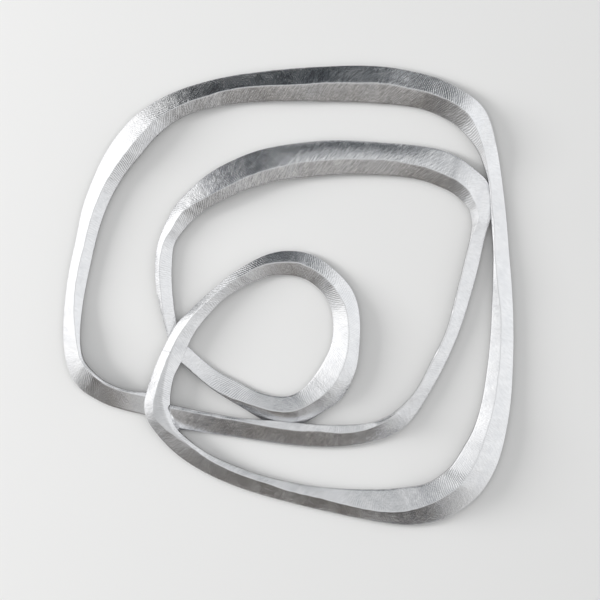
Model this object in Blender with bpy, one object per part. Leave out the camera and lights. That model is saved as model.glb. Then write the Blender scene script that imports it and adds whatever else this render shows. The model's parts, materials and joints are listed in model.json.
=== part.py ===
"""Free-form wall sculpture: one ground aluminium bar that loops three times and closes on itself.

Metres, +Z up. The front faces -Y and the wall is the plane y = 0, touched by the felt pads. The
origin is on that plane, on the top felt pad, midway between the two keyhole hangers.

The bar is built as ten cast lengths. Eight joints are square butts. Where the bar crosses itself
the crossing length runs through and the other two ends are coped against its side walls. Where two
lengths lie side by side a flat is ground on one of them. Every joint is bevelled on the back only
and welded there; the front is ground flush.
"""

import math
from collections import namedtuple

import bmesh
import bpy
import numpy as np
from mathutils import Vector

MM = 0.001
LEFT, RIGHT = -1, 1  # sides of the bar, seen from the front and facing along it

# ---- section of the bar ----
PAD_T = 0.0015  # felt pad thickness: the gap between the bar's back and the wall
EDGE = 0.0045  # height of the bar's lower side wall
DEFAULT_SLOPE = 35.5  # degrees between a facet and the wall plane, where a station gives none
BLEND = 0.002  # how softly the ridge height passes from the left facet's reach to the right's
BACK_CHAMFER = 0.0015
LOW_EDGE_RISE = 0.0003  # least height of the side walls' back edges above the back
RIDGE_LAND = 0.0012  # width left on a single ridge

# ---- joints and welds ----
JOINT_GAP = 0.0003
COPE_GAP = 0.0005
CONTACT_GAP = 0.0006
GROOVE = 0.004  # depth and width of the weld bevel on a length's back edge
BEAD = 0.0034
CROWN = 0.0006
END_SLIM = 0.6  # size of a bead's two end rings against the rest
BUTT_INSET = 0.0030  # from each side of the bar to the end of a butt weld
COPE_BEAD = 0.85 * BEAD
COPE_BEAD_OFF = 0.0007  # from the crossing length's wall to the near side of the bead
CONTACT_BEAD_HALF = 0.0012
CONTACT_BEAD_DEPTH = 0.0009
COPE_OVERRUN = 0.01395  # how far a coped length is carried on before it is cut
COPE_PLAIN = 0.0093  # from a coped end to the first regular ring
COPE_CUT_BACK = 0.02015  # reach of a cope cutter into the crossing length
COPE_CUT_TOP = 0.05

# ---- sampling along the bar ----
RING_PITCH = 0.0155
RING_PITCH_MIN = 0.002325  # the pitch is not shortened further once it is at or below this
RING_PITCH_CUT = 0.8
RING_TURN = math.radians(7.0)  # most the bar may turn between two rings
LAST_PITCH_MIN = 0.00186
SEARCH_STEP = 0.0003875  # for finding the nearest position along a run
HEADING_REACH = 0.000775  # each way from the position asked for
END_HEADING_AT = 0.00155  # from a coped end to where its direction is taken
NEAR_ZERO = 1.55e-9
SHARP_ANGLE = math.radians(24)

# ---- felt pads ----
PAD_R = 0.007
PAD_GAP = 0.0003  # between a pad's front and the bar's back
PAD_SIDES = 20
PADS = {  # x, z in millimetres
    "top": (0, 0),
    "left": (-383.625, -370.45),
    "foot": (-345.65, -468.875),
    "bottom": (15.5, -641.7),
    "bottom_right": (237.15, -593.65),
    "right": (281.325, -385.95),
    "small_loop": (40.3, -370.45),
}

# ---- hangers; heights are from the centre of the plate ----
HANGER_X = {"left": -0.124, "right": 0.124}
HANGER_Z = -0.00403
PLATE_W, PLATE_H, PLATE_T = 0.044, 0.024, 0.0018
PLATE_CORNER_R, RECESS_CORNER_R = 0.004, 0.0043
POCKET_W, POCKET_H, POCKET_DEPTH, POCKET_CORNER_R = 0.0130, 0.0195, 0.0095, 0.005
KEY_ENTRY_R, KEY_ENTRY_Z = 0.0047, -0.0042
KEY_SLOT_R, KEY_SLOT_Z = 0.0024, 0.0052
KEY_STEPS = 10
CORNER_STEPS = 4
SCREW_DX = 0.0165
SCREW_SHANK_R, SCREW_HEAD_R, SCREW_HEAD_T, SCREW_LEN = 0.0018, 0.0036, 0.0019, 0.0095
SCREW_TOP = 0.0002  # from the plate's back face down to the head
SCREW_RIM = 0.0005  # from the plate's back face down to the head's widest ring
SCREW_RIM_BEVEL = 0.0003
SCREW_TIP = 0.001
SCREW_SIDES = 16
SINK_DEPTH = 0.012
DRIVE_R, DRIVE_DEPTH = 0.00145, 0.0017
HOLE_CLEAR = 0.0003

# ---- stations ----
# Columns: left edge x, z and right edge x, z in millimetres; where the two ridges lie between the
# edges (0 left, 1 right; one ridge where the two nearly agree). A station may go on with the
# slopes of its left and right facets in degrees, and with how many millimetres the whole front
# stands proud there.
OUTER_RUN = [
    # foot of the outer loop, from its coped end at the left tip
    (-273.73, -509.33, -269.39, -474.92, 0.82, 0.84, 19, 20),
    (-292.95, -505.145, -288.3, -473.215, 0.88, 0.90, 23, 22),
    (-311.55, -500.34, -305.35, -469.65, 0.90, 0.92, 28, 24),
    (-331.7, -493.52, -320.85, -463.915, 0.91, 0.93, 31, 26),
    (-351.075, -483.6, -336.35, -455.39, 0.91, 0.93, 33, 29),
    (-368.125, -472.75, -349.525, -444.23, 0.91, 0.93, 36, 36),
    (-381.92, -457.25, -360.375, -432.76, 0.90, 0.92, 36, 36),
    (-391.53, -435.55, -367.35, -419.43, 0.87, 0.89),
    (-396.335, -412.3, -370.295, -404.55, 0.84, 0.86),
    # left side
    (-398.35, -384.4, -371.225, -383.625, 0.76, 0.77),
    (-396.8, -348.75, -368.9, -349.525, 0.60, 0.60),
    (-392.77, -311.55, -363.32, -312.325, 0.49, 0.49),
    (-386.57, -274.35, -355.105, -273.575, 0.49, 0.49),
    (-378.045, -235.6, -345.96, -234.05, 0.52, 0.52),
    (-368.125, -188.325, -331.39, -189.875, 0.54, 0.54),
    (-352.625, -145.7, -316.2, -158.875, 0.57, 0.57),
    (-334.8, -107.725, -297.135, -129.89, 0.61, 0.61),
    (-313.1, -74.71, -277.14, -105.71, 0.63, 0.63),
    # top
    (-287.99, -47.12, -256.99, -81.84, 0.63, 0.63),
    (-259.625, -26.66, -232.5, -60.295, 0.59, 0.59, 36, 36),
    (-226.3, -9.3, -206.925, -45.26, 0.60, 0.60, 36, 34),
    (-189.1, 3.565, -178.25, -35.96, 0.59, 0.59, 36, 33),
    (-148.8, 13.64, -142.6, -29.45, 0.51, 0.51, 36, 33),
    (-100.75, 21.08, -97.65, -25.265, 0.50, 0.50, 36, 33),
    (-46.5, 26.97, -46.5, -24.025, 0.54, 0.54, 36, 32),
    (7.75, 30.225, 6.2, -24.645, 0.50, 0.50, 33, 32),
    (58.9, 31.62, 54.25, -25.575, 0.50, 0.50, 31, 32),
    (108.5, 28.675, 99.2, -28.21, 0.48, 0.48, 31, 32),
    (151.9, 20.77, 137.175, -32.085, 0.52, 0.52, 32, 33),
    (186, 10.85, 166.625, -39.06, 0.51, 0.51, 34, 36),
    (215.45, -4.34, 191.425, -49.6, 0.49, 0.49, 34, 36, 1.5),
    # upper right corner
    (238.7, -19.53, 211.575, -61.845, 0.52, 0.52, 33, 36, 3),
    (255.75, -37.51, 227.85, -77.81, 0.60, 0.60, 31, 34, 2),
    (265.825, -59.675, 241.025, -94.86, 0.72, 0.72, 31, 36),
    (272.49, -86.8, 250.015, -113.15, 0.78, 0.79, 30, 36),
    (277.915, -116.25, 256.215, -131.75, 0.85, 0.87, 28, 34),
    # right side
    (282.41, -148.8, 260.865, -151.125, 0.90, 0.92, 26, 31),
    (286.44, -181.35, 263.5, -182.125, 0.88, 0.90, 25, 31),
    (289.85, -215.45, 265.515, -215.45, 0.84, 0.86, 26, 31),
    (292.795, -254.2, 267.84, -254.2, 0.89, 0.92, 28, 29),
    (296.67, -300.7, 267.53, -300.7, 0.79, 0.79, 30, 29),
    (299.305, -348.75, 266.135, -347.975, 0.61, 0.61, 31, 29),
    (299.925, -396.8, 263.5, -396.8, 0.56, 0.56, 31, 29),
    (298.685, -443.3, 258.23, -443.3, 0.56, 0.56, 31, 29),
    (295.585, -489.8, 250.325, -489.8, 0.58, 0.58, 32, 29),
    (289.075, -533.2, 236.84, -533.2, 0.60, 0.60, 34, 29),
    # lower right corner
    (278.07, -577.375, 219.325, -564.975, 0.57, 0.57, 34, 28),
    (264.275, -608.375, 203.515, -588.69, 0.55, 0.55, 34, 28),
    (244.9, -635.5, 187.24, -603.26, 0.54, 0.54, 36, 28),
    (220.1, -655.65, 171.43, -613.18, 0.53, 0.53, 36, 27),
    (192.2, -671.15, 153.45, -619.07, 0.51, 0.51, 36, 26),
    (161.2, -679.055, 131.75, -622.015, 0.45, 0.45, 36, 26),
    # bottom
    (127.1, -679.985, 108.5, -624.65, 0.38, 0.38, 36, 25),
    (89.9, -675.8, 80.6, -625.58, 0.37, 0.37, 36, 25),
    (46.5, -667.43, 46.5, -624.805, 0.42, 0.42, 36, 25),
    (-3.1, -656.58, 4.65, -621.705, 0.54, 0.54, 36, 25),
    (-54.25, -643.87, -43.4, -614.575, 0.60, 0.60, 36, 25),
    (-105.4, -629.3, -92.225, -602.64, 0.72, 0.72, 36, 27),
    (-148.8, -613.49, -136.4, -586.83, 0.72, 0.72, 36, 26),
    (-186, -595.2, -173.6, -569.315, 0.79, 0.80, 34, 25),
    (-215.45, -575.98, -198.4, -552.265, 0.81, 0.84, 32, 25, 1.5),
    # left tip, where the foot of the outer loop and the middle loop are coped against the bar
    (-238.7, -555.21, -216.535, -536.3, 0.72, 0.84, 30, 26, 3.5),
    (-256.525, -534.13, -227.385, -520.8, 0.50, 0.84, 31, 28, 6),
    (-267.84, -515.84, -230.95, -502.975, 0.34, 0.78, 32, 28, 8),
    (-271.87, -493.675, -231.725, -485.15, 0.38, 0.72, 31, 28, 9.5),
    (-268.15, -472.285, -230.02, -468.1, 0.42, 0.70, 32, 28, 10),
    (-260.865, -450.275, -225.37, -448.725, 0.40, 0.62, 36, 28, 9.5),
    (-250.015, -422.53, -215.76, -429.35, 0.38, 0.50, 36, 28, 9),
    # second crossing
    (-236.84, -395.56, -204.29, -401.76, 0.37, 0.42, 36, 28, 8.5),
    (-222.27, -369.21, -189.565, -375.1, 0.43, 0.45, 36, 28, 7.5),
    (-203.05, -349.37, -172.515, -354.33, 0.39, 0.39, 36, 28, 6.5),
    (-181.35, -328.6, -153.45, -334.18, 0.41, 0.41, 36, 29, 5),
    (-158.1, -308.45, -133.765, -319.765, 0.40, 0.40, 36, 30, 4),
    # small loop, over the top
    (-134.85, -289.85, -114.7, -309.07, 0.41, 0.41, 36, 31, 3),
    (-110.05, -274.66, -96.1, -301.01, 0.40, 0.40, 32, 30, 2),
    (-85.25, -262.26, -77.5, -294.655, 0.44, 0.44, 32, 30, 1),
    (-60.45, -256.06, -58.125, -292.795, 0.48, 0.48, 32, 30),
    (-35.65, -256.06, -39.525, -294.5, 0.46, 0.46, 32, 30),
    (-12.4, -261.64, -21.7, -300.235, 0.51, 0.51, 32, 30),
    (10.85, -275.435, -6.975, -310, 0.49, 0.49, 34, 34),
    (31, -292.95, 4.185, -321.16, 0.50, 0.50, 34, 36),
    (47.275, -312.17, 13.33, -335.265, 0.52, 0.52, 33, 36),
    (57.35, -334.8, 18.6, -351.85, 0.47, 0.47, 33, 36),
    (61.845, -365.025, 20.305, -370.45, 0.43, 0.43, 33, 36),
    (61.225, -399.9, 18.6, -394.475, 0.405, 0.405, 33, 34),
    (56.73, -434.775, 11.625, -415.4, 0.395, 0.395, 34, 31),
    (46.19, -464.225, 0, -436.325, 0.41, 0.41, 36, 30),
    (27.9, -489.8, -15.965, -458.49, 0.45, 0.45, 36, 28),
    (3.1, -506.075, -32.55, -473.37, 0.46, 0.46, 34, 26),
    # small loop, underside: it leans on the middle loop, and that edge is ground to a flat
    (-23.25, -521.575, -48.825, -480.345, 0.50, 0.50, 32, 25),
    (-55.8, -527.775, -68.2, -480.81, 0.50, 0.50, 32, 25),
    (-89.9, -516.925, -87.575, -476.935, 0.46, 0.46, 33, 25),
    (-116.25, -501.115, -109.275, -468.72, 0.33, 0.33, 33, 25),
    (-144.15, -484.375, -132.525, -456.165, 0.13, 0.14, 34, 24),
    (-175.15, -463.45, -159.65, -442.06, 0.07, 0.09, 34, 23),
    (-198.4, -443.765, -185.225, -422.065, 0.07, 0.09, 34, 21),
    (-214.52, -429.66, -204.29, -404.24, 0.07, 0.09, 34, 19),
]

MIDDLE_RUN = [
    # left side of the middle loop, from its coped end at the second crossing
    (-235.755, -389.98, -221.96, -366.73, 0.10, 0.13, 34, 17),
    (-242.42, -365.8, -225.06, -352.625, 0.14, 0.16, 36, 20),
    (-248.465, -341.775, -227.54, -334.025, 0.22, 0.22, 34.5, 24),
    (-253.27, -317.75, -229.4, -313.1, 0.29, 0.29, 34.5, 27),
    (-255.595, -292.95, -230.175, -290.625, 0.28, 0.28, 34.5, 28, 0.4),
    (-254.665, -265.05, -229.09, -265.825, 0.31, 0.31, 34.5, 28, 1),
    (-249.55, -238.7, -225.06, -243.35, 0.37, 0.37, 34.5, 28, 2),
    (-240.25, -215.45, -213.9, -226.765, 0.45, 0.45, 34.5, 29, 2.5),
    (-226.61, -189.1, -200.725, -211.575, 0.46, 0.46, 36, 30, 2.5),
    (-209.25, -167.865, -183.83, -197.315, 0.55, 0.55, 34, 31, 1.5),
    # top of the middle loop
    (-187.55, -147.56, -165.85, -184.915, 0.65, 0.65, 31.5, 31, 0.5),
    (-164.3, -130.51, -145.7, -174.995, 0.68, 0.68, 30.5, 32),
    (-136.4, -115.785, -120.9, -163.37, 0.67, 0.67, 30.5, 30),
    (-103.85, -102.455, -93, -154.07, 0.645, 0.645, 30, 30),
    (-66.65, -93.155, -60.45, -146.475, 0.62, 0.62, 29, 29),
    (-26.35, -87.265, -24.8, -142.445, 0.57, 0.57, 28, 29),
    (17.05, -84.01, 15.5, -138.57, 0.57, 0.57, 28, 29),
    (60.45, -84.94, 55.8, -137.64, 0.55, 0.55, 28, 29),
    (102.3, -87.885, 94.55, -138.725, 0.54, 0.54, 28, 29),
    (141.05, -90.985, 130.2, -141.515, 0.58, 0.58, 27, 31),
    (175.15, -96.1, 159.65, -146.94, 0.62, 0.62, 25, 33),
    (201.5, -103.85, 184.45, -155.93, 0.64, 0.64, 23.5, 34),
    (221.65, -115.63, 204.6, -165.85, 0.62, 0.62, 23, 36, 1.5),
    # corner that leans on the right side of the outer loop, ground to a flat there
    (240.25, -129.89, 220.1, -178.56, 0.645, 0.645, 22, 36, 2),
    (258.85, -146.94, 230.95, -192.51, 0.73, 0.73, 20, 36, 1.5),
    (268.15, -162.75, 234.05, -203.825, 0.72, 0.72, 19, 36, 2.5),
    (270.475, -182.9, 235.135, -213.125, 0.72, 0.72, 19, 36, 4),
    (265.05, -204.6, 234.36, -222.425, 0.78, 0.78, 19, 36, 4.5),
    (257.765, -226.3, 232.19, -236.685, 0.90, 0.92, 20, 36, 3.5),
    # right side of the middle loop
    (250.635, -255.75, 226.3, -261.175, 0.93, 0.95, 23, 36, 2),
    (241.8, -294.5, 217.62, -296.05, 0.93, 0.95, 26, 36, 1),
    (230.95, -333.25, 208.01, -333.25, 0.91, 0.93, 29, 36),
    (219.325, -370.45, 198.4, -369.675, 0.90, 0.92, 31, 36),
    (205.53, -405.325, 185.535, -401.45, 0.90, 0.92, 31, 36),
    (190.65, -437.1, 169.415, -432.45, 0.90, 0.92, 31, 36),
    (175.15, -465.93, 152.365, -465.775, 0.91, 0.93, 31, 36),
    (158.1, -494.45, 132.835, -489.8, 0.91, 0.93, 31, 36),
    (138.725, -520.8, 110.515, -508.4, 0.88, 0.90, 34, 34),
    # underside of the middle loop
    (111.6, -540.95, 85.25, -519.56, 0.78, 0.80, 36, 28),
    (77.5, -552.42, 58.9, -524.21, 0.66, 0.68, 33, 20),
    (38.75, -558.62, 27.9, -525.45, 0.64, 0.66, 32, 20),
    (-3.1, -559.55, -3.1, -524.675, 0.72, 0.76, 32, 20),
    (-46.5, -556.45, -43.4, -520.645, 0.66, 0.70, 34, 22),
    (-89.9, -550.715, -86.8, -517.08, 0.74, 0.78, 33, 23),
    (-130.2, -544.205, -127.1, -513.825, 0.84, 0.88, 31, 25),
    (-167.4, -538.78, -165.85, -507.47, 0.86, 0.90, 30, 27),
    (-199.95, -534.285, -198.4, -500.96, 0.86, 0.90, 28, 27),
    (-225.06, -532.115, -230.485, -493.83, 0.86, 0.88, 26, 27),
]

# Lengths in order along each run, and the butt joints between them: the x, z in millimetres that
# the bar's middle passes nearest to at the joint.
OUTER_LENGTHS = [
    "outer_left_bar", "top_bar", "right_bar", "bottom_bar",
    "small_loop_upper_bar", "small_loop_lower_bar",
]
OUTER_BUTTS = {
    "top_left": (-279.775, -58.125),
    "top_right": (213.9, -32.55),
    "bottom_right": (215.45, -621.55),
    "rise": (-227.85, -413.075),
    "small_loop": (29.45, -437.1),
}
MIDDLE_LENGTHS = [
    "middle_left_bar", "middle_top_bar", "middle_right_bar", "middle_bottom_bar",
]
MIDDLE_BUTTS = {
    "middle_left": (-189.875, -171.275),
    "middle_top": (213.9, -137.95),
    "middle_right": (142.6, -496),
}

# Walls of the outer run that coped ends stand against: x, z of the crossing in millimetres, side,
# where the wall's points start along the run from there in metres, and how many there are.
COPE_STEP = 0.00465
COPE_WALLS = {
    "tip_left": ((-251.875, -489.8), LEFT, -0.0496, 20),
    "tip_right": ((-251.875, -489.8), RIGHT, -0.0806, 26),
    "rise_left": ((-220.565, -398.35), LEFT, -0.0403, 20),
    "rise_right": ((-220.565, -398.35), RIGHT, -0.05425, 21),
}

# Side-by-side contacts: x, z in millimetres on the length that is leant on and on the one ground
# flat; start of the wall's points and their number; reach of the flat each way along the bar;
# reach of the weld each way and the number of its rings.
CONTACT_STEP = 0.002325
Contact = namedtuple("Contact", "on ground start count flat weld rings")
RIGHT_CONTACT = Contact(
    on=(274.35, -181.35), ground=(249.55, -186),
    start=-0.1085, count=94, flat=0.093, weld=0.01395, rings=9,
)
UNDER_CONTACT = Contact(
    on=(-46.5, -537.85), ground=(-55.8, -502.2),
    start=-0.1395, count=120, flat=0.1085, weld=0.0217, rings=11,
)

# One section of the bar: edge points, ridges as shares between them, heights above the back.
Section = namedtuple("Section", "left right ridge1 ridge2 left_wall right_wall ridge_height")


# ---- curves ----
def natural_spline(knots, values):
    """Second derivatives of the natural cubic through the knots."""
    n = len(knots)
    matrix, rhs = np.zeros((n, n)), np.zeros(n)
    matrix[0, 0] = matrix[-1, -1] = 1.0
    for i in range(1, n - 1):
        before, after = knots[i] - knots[i - 1], knots[i + 1] - knots[i]
        matrix[i, i - 1 : i + 2] = before, 2 * (before + after), after
        rise, next_rise = values[i] - values[i - 1], values[i + 1] - values[i]
        rhs[i] = 6 * (next_rise / after - rise / before)
    return np.linalg.solve(matrix, rhs)


def span_index(knots, x):
    return min(max(int(np.searchsorted(knots, x)) - 1, 0), len(knots) - 2)


def spline_at(knots, values, bends, x):
    i = span_index(knots, x)
    h = knots[i + 1] - knots[i]
    p, q = (knots[i + 1] - x) / h, (x - knots[i]) / h
    bend = (p**3 - p) * bends[i] + (q**3 - q) * bends[i + 1]
    return p * values[i] + q * values[i + 1] + bend * h * h / 6


def eased(knots, values, x):
    """The value between stations: a monotone cubic, with no overshoot."""

    def grade(k):
        return (values[k + 1] - values[k]) / (knots[k + 1] - knots[k])

    def pace(k):
        if k == 0:
            return grade(0)
        if k == len(knots) - 1:
            return grade(k - 1)
        before, after = knots[k] - knots[k - 1], knots[k + 1] - knots[k]
        grade_in, grade_out = grade(k - 1), grade(k)
        if grade_in * grade_out <= 0:
            return 0.0
        weight_in, weight_out = 2 * after + before, after + 2 * before
        return (weight_in + weight_out) / (weight_in / grade_in + weight_out / grade_out)

    i = span_index(knots, x)
    h = knots[i + 1] - knots[i]
    q = min(max((x - knots[i]) / h, 0.0), 1.0)
    p = 1 - q
    ends = values[i] * p * p * (1 + 2 * q) + values[i + 1] * q * q * (1 + 2 * p)
    return ends + h * p * q * (pace(i) * p - pace(i + 1) * q)


class Run:
    """A run of bar between two coped ends. Points are (x, z); positions follow its middle line."""

    def __init__(self, rows):
        left = np.array([row[0:2] for row in rows], float) * MM
        right = np.array([row[2:4] for row in rows], float) * MM
        steps = np.linalg.norm(np.diff((left + right) / 2, axis=0), axis=1)
        self.knots = np.concatenate([[0.0], np.cumsum(steps)])
        columns = (left[:, 0], left[:, 1], right[:, 0], right[:, 1])
        self.edges = [(column, natural_spline(self.knots, column)) for column in columns]
        self.ridge1 = [row[4] for row in rows]
        self.ridge2 = [row[5] for row in rows]
        slopes = [row[6:8] or (DEFAULT_SLOPE, DEFAULT_SLOPE) for row in rows]
        self.left_slope = [math.tan(math.radians(pair[0])) for pair in slopes]
        self.right_slope = [math.tan(math.radians(pair[1])) for pair in slopes]
        self.lift = [row[8] * MM if len(row) > 8 else 0.0 for row in rows]
        self.clip = None

    def length(self):
        return float(self.knots[-1])

    def edge_points(self, x):
        """Left and right edge, before any flat is ground."""
        coords = [spline_at(self.knots, values, bends, x) for values, bends in self.edges]
        return np.array(coords[:2]), np.array(coords[2:])

    def middle(self, x):
        left, right = self.edge_points(x)
        return (left + right) / 2

    def heading(self, x):
        ahead = self.middle(min(x + HEADING_REACH, self.length()))
        step = ahead - self.middle(max(x - HEADING_REACH, 0.0))
        return step / np.linalg.norm(step)

    def section(self, x):
        def value(column):
            return eased(self.knots, column, x)

        left, right = self.edge_points(x)
        ridge1, ridge2 = value(self.ridge1), value(self.ridge2)
        width = np.linalg.norm(right - left)
        # the facet that reaches higher sets the ridge; the other side's wall makes up the rest
        left_rise = ridge1 * width * value(self.left_slope)
        right_rise = (1 - ridge2) * width * value(self.right_slope)
        reach = left_rise + right_rise + math.sqrt((left_rise - right_rise) ** 2 + BLEND**2)
        height = EDGE + value(self.lift) + reach / 2
        left_wall, right_wall = height - left_rise, height - right_rise
        share = self.clip(x, left, right) if self.clip is not None else 0.0
        if share > 0:
            left_wall += (height - left_wall) * min(share / ridge1, 0.9)
            left = left + (right - left) * share
            ridge1 = max((ridge1 - share) / (1 - share), 0.02)
            ridge2 = max((ridge2 - share) / (1 - share), 0.04)
            width = np.linalg.norm(right - left)
        land = RIDGE_LAND / width
        if ridge2 - ridge1 < land:
            centre = min(max((ridge1 + ridge2) / 2, land), 1 - land)
            ridge1, ridge2 = centre - land / 2, centre + land / 2
        return Section(left, right, ridge1, ridge2, left_wall, right_wall, height)

    def nearest(self, point_mm):
        """Position where the middle line is nearest to an x, z given in millimetres."""
        point = np.array(point_mm) * MM
        xs = np.arange(0.0, self.length(), SEARCH_STEP)
        return float(xs[int(np.argmin([np.linalg.norm(self.middle(x) - point) for x in xs]))])


def rightward(steps):
    """Steps in x, z turned a quarter to the right, seen from the front."""
    return np.stack([steps[..., 1], -steps[..., 0]], axis=-1)


class SideWall:
    """One edge of a run as a dense line of points."""

    def __init__(self, run, side, start, count, step):
        edge = 0 if side == LEFT else 1
        self.side = side
        self.points = np.array([run.edge_points(start + k * step)[edge] for k in range(count)])

    def normals(self):
        """Unit normals at the points, out of the bar."""
        out = rightward(np.gradient(self.points, axis=0)) * self.side
        return out / np.linalg.norm(out, axis=1)[:, None]

    def gap_to(self, point):
        """Distance of a point from the wall, positive outside the bar, and the normal there."""
        starts = self.points[:-1]
        steps = self.points[1:] - starts
        along = ((point - starts) * steps).sum(1) / (steps * steps).sum(1)
        feet = starts + steps * np.clip(along, 0, 1)[:, None]
        away = np.linalg.norm(point - feet, axis=1)
        i = int(np.argmin(away))
        out = rightward(steps[i]) * self.side
        gap = np.sign(out @ (point - starts[i])) * away[i]
        return float(gap), out / np.linalg.norm(steps[i])

    def moved_to(self, point, gap):
        """The point moved to stand a gap off the wall, and the normal last used."""
        for _ in range(3):
            distance, normal = self.gap_to(point)
            point = point + normal * (gap - distance)
        return point, normal


def clip_to(wall, centre, reach):
    """A rule giving the share of a run's width to grind off its left edge to clear a wall."""

    def rule(x, left, right):
        if not centre - reach <= x <= centre + reach:
            return 0.0
        across, share = right - left, 0.0
        for _ in range(4):
            distance, normal = wall.gap_to(left + across * share)
            if distance >= CONTACT_GAP - NEAR_ZERO:
                break
            share += (CONTACT_GAP - distance) / max(float(across @ normal), NEAR_ZERO)
        return min(max(share, 0.0), 0.8)

    return rule


# ---- solids ----
def world(point, height):
    """A point of the x, z plan at a height in front of the bar's back."""
    return Vector((point[0], -(PAD_T + height), point[1]))


def add_object(name, bm, material, place=(0, 0, 0), smooth=False):
    bmesh.ops.recalc_face_normals(bm, faces=bm.faces)
    if bm.calc_volume(signed=True) < 0:
        bmesh.ops.reverse_faces(bm, faces=bm.faces)
    mesh = bpy.data.meshes.new(name)
    bm.to_mesh(mesh)
    bm.free()
    if smooth:
        mesh.shade_smooth()
        mesh.set_sharp_from_angle(angle=SHARP_ANGLE)
    obj = bpy.data.objects.new(name, mesh)
    bpy.context.scene.collection.objects.link(obj)
    if material is not None:
        mesh.materials.append(material)
    obj.parent = ROOT
    obj.location = place
    return obj


def loft(name, rings, material=None, place=(0, 0, 0), smooth=True):
    """A closed solid through rings of equal corner count."""
    bm = bmesh.new()
    made = [[bm.verts.new(point) for point in ring] for ring in rings]
    n = len(made[0])
    for a, b in zip(made[:-1], made[1:]):
        for i in range(n):
            j = (i + 1) % n
            bm.faces.new((a[i], a[j], b[j], b[i]))
    bm.faces.new(list(reversed(made[0])))
    bm.faces.new(made[-1])
    return add_object(name, bm, material, place, smooth)


def prism(name, outline, y0, y1, place, material=None):
    """A closed prism over an outline of (x, z) corners, from y0 to y1."""
    rings = [[(x, y, z) for x, z in outline] for y in (y0, y1)]
    return loft(name, rings, material, place, smooth=False)


def turned(name, profile, sides, place, material=None):
    """A solid turned about the y axis from (radius, y) pairs that start and end on the axis."""
    bm = bmesh.new()
    rows = []
    for radius, y in profile:
        angles = [2 * math.pi * k / sides for k in range(sides)] if radius > 0 else [0.0]
        rows.append([
            bm.verts.new((radius * math.cos(angle), y, radius * math.sin(angle)))
            for angle in angles
        ])
    for a, b in zip(rows[:-1], rows[1:]):
        for k in range(sides):
            j = (k + 1) % sides
            if len(a) == 1:
                bm.faces.new((a[0], b[k], b[j]))
            elif len(b) == 1:
                bm.faces.new((a[k], a[j], b[0]))
            else:
                bm.faces.new((a[k], a[j], b[j], b[k]))
    return add_object(name, bm, material, place)


def cut(target, tool):
    tool.hide_render = True
    tool.display_type = "WIRE"
    modifier = target.modifiers.new("cut_" + tool.name, "BOOLEAN")
    modifier.operation = "DIFFERENCE"
    modifier.solver = "EXACT"
    modifier.object = tool


# ---- cast lengths ----
def bar_ring(run, x, back=0.0, shift=0.0):
    """Eight corners at x, from the back's left corner over the ridges to its right corner."""
    s = run.section(x)
    across = s.right - s.left
    chamfer = BACK_CHAMFER / float(np.linalg.norm(across))
    low = max(BACK_CHAMFER, back + LOW_EDGE_RISE)
    corners = [
        (chamfer, back), (0, low), (0, s.left_wall), (s.ridge1, s.ridge_height),
        (s.ridge2, s.ridge_height), (1, s.right_wall), (1, low), (1 - chamfer, back),
    ]
    return [world(s.left + across * share + shift, height) for share, height in corners]


def ring_stops(run, x0, x1):
    """Positions of the rings between two ends: closer together where the bar turns."""
    stops, x = [x0], x0
    while x < x1:
        step = RING_PITCH
        while step > RING_PITCH_MIN:
            cosine = float(run.heading(x) @ run.heading(min(x + step, x1)))
            if math.acos(max(-1.0, min(1.0, cosine))) <= RING_TURN:
                break
            step *= RING_PITCH_CUT
        x += step
        stops.append(x)
    stops[-1] = x1
    if len(stops) > 2 and stops[-1] - stops[-2] < LAST_PITCH_MIN:
        stops.pop(-2)
    return stops


def bar(name, run, x0, x1, start, end, material):
    """One cast length. start and end are None for a square butt, or the cutter coping that end."""
    if start is None:
        first, first_ring = x0 + GROOVE, bar_ring(run, x0, back=GROOVE)
    else:
        away = run.heading(END_HEADING_AT) * -COPE_OVERRUN
        first, first_ring = x0 + COPE_PLAIN, bar_ring(run, x0, shift=away)
    if end is None:
        last, last_ring = x1 - GROOVE, bar_ring(run, x1, back=GROOVE)
    else:
        ahead = run.heading(run.length() - END_HEADING_AT) * COPE_OVERRUN
        last, last_ring = x1 - COPE_PLAIN, bar_ring(run, x1, shift=ahead)
    rings = [bar_ring(run, x) for x in ring_stops(run, first, last)]
    obj = loft(name, [first_ring, *rings, last_ring], material)
    for cutter in (start, end):
        if cutter is not None:
            cut(obj, cutter)
    return obj


def cope_cutter(name, wall):
    """The space a coped end leaves: the crossing length, a small gap and the weld bevel."""
    corners = [
        (-COPE_CUT_BACK, -GROOVE), (COPE_GAP + 2 * GROOVE, -GROOVE), (COPE_GAP, GROOVE),
        (COPE_GAP, COPE_CUT_TOP), (-COPE_CUT_BACK, COPE_CUT_TOP),
    ]
    rings = [
        [world(point + normal * out, height) for out, height in corners]
        for point, normal in zip(wall.points, wall.normals())
    ]
    return loft(name, rings)


def run_lengths(run, names, butts, start, end, cast, weld):
    """All the lengths of a run and the welds at its butts. Returns the lengths by name."""
    joints = [run.nearest(point) for point in butts.values()]
    half = JOINT_GAP / 2
    starts = [0.0] + [x + half for x in joints]
    ends = [x - half for x in joints] + [run.length()]
    start_cutters = [start] + [None] * len(joints)
    end_cutters = [None] * len(joints) + [end]
    made = {
        name: bar(name, run, *limits, cast)
        for name, *limits in zip(names, starts, ends, start_cutters, end_cutters)
    }
    for name, x in zip(butts, joints):
        butt_weld(f"weld_{name}_butt", run, x, weld)
    return made


# ---- welds on the back ----
def end_slim(k, count):
    return 1.0 if 0 < k < count - 1 else END_SLIM


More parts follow.
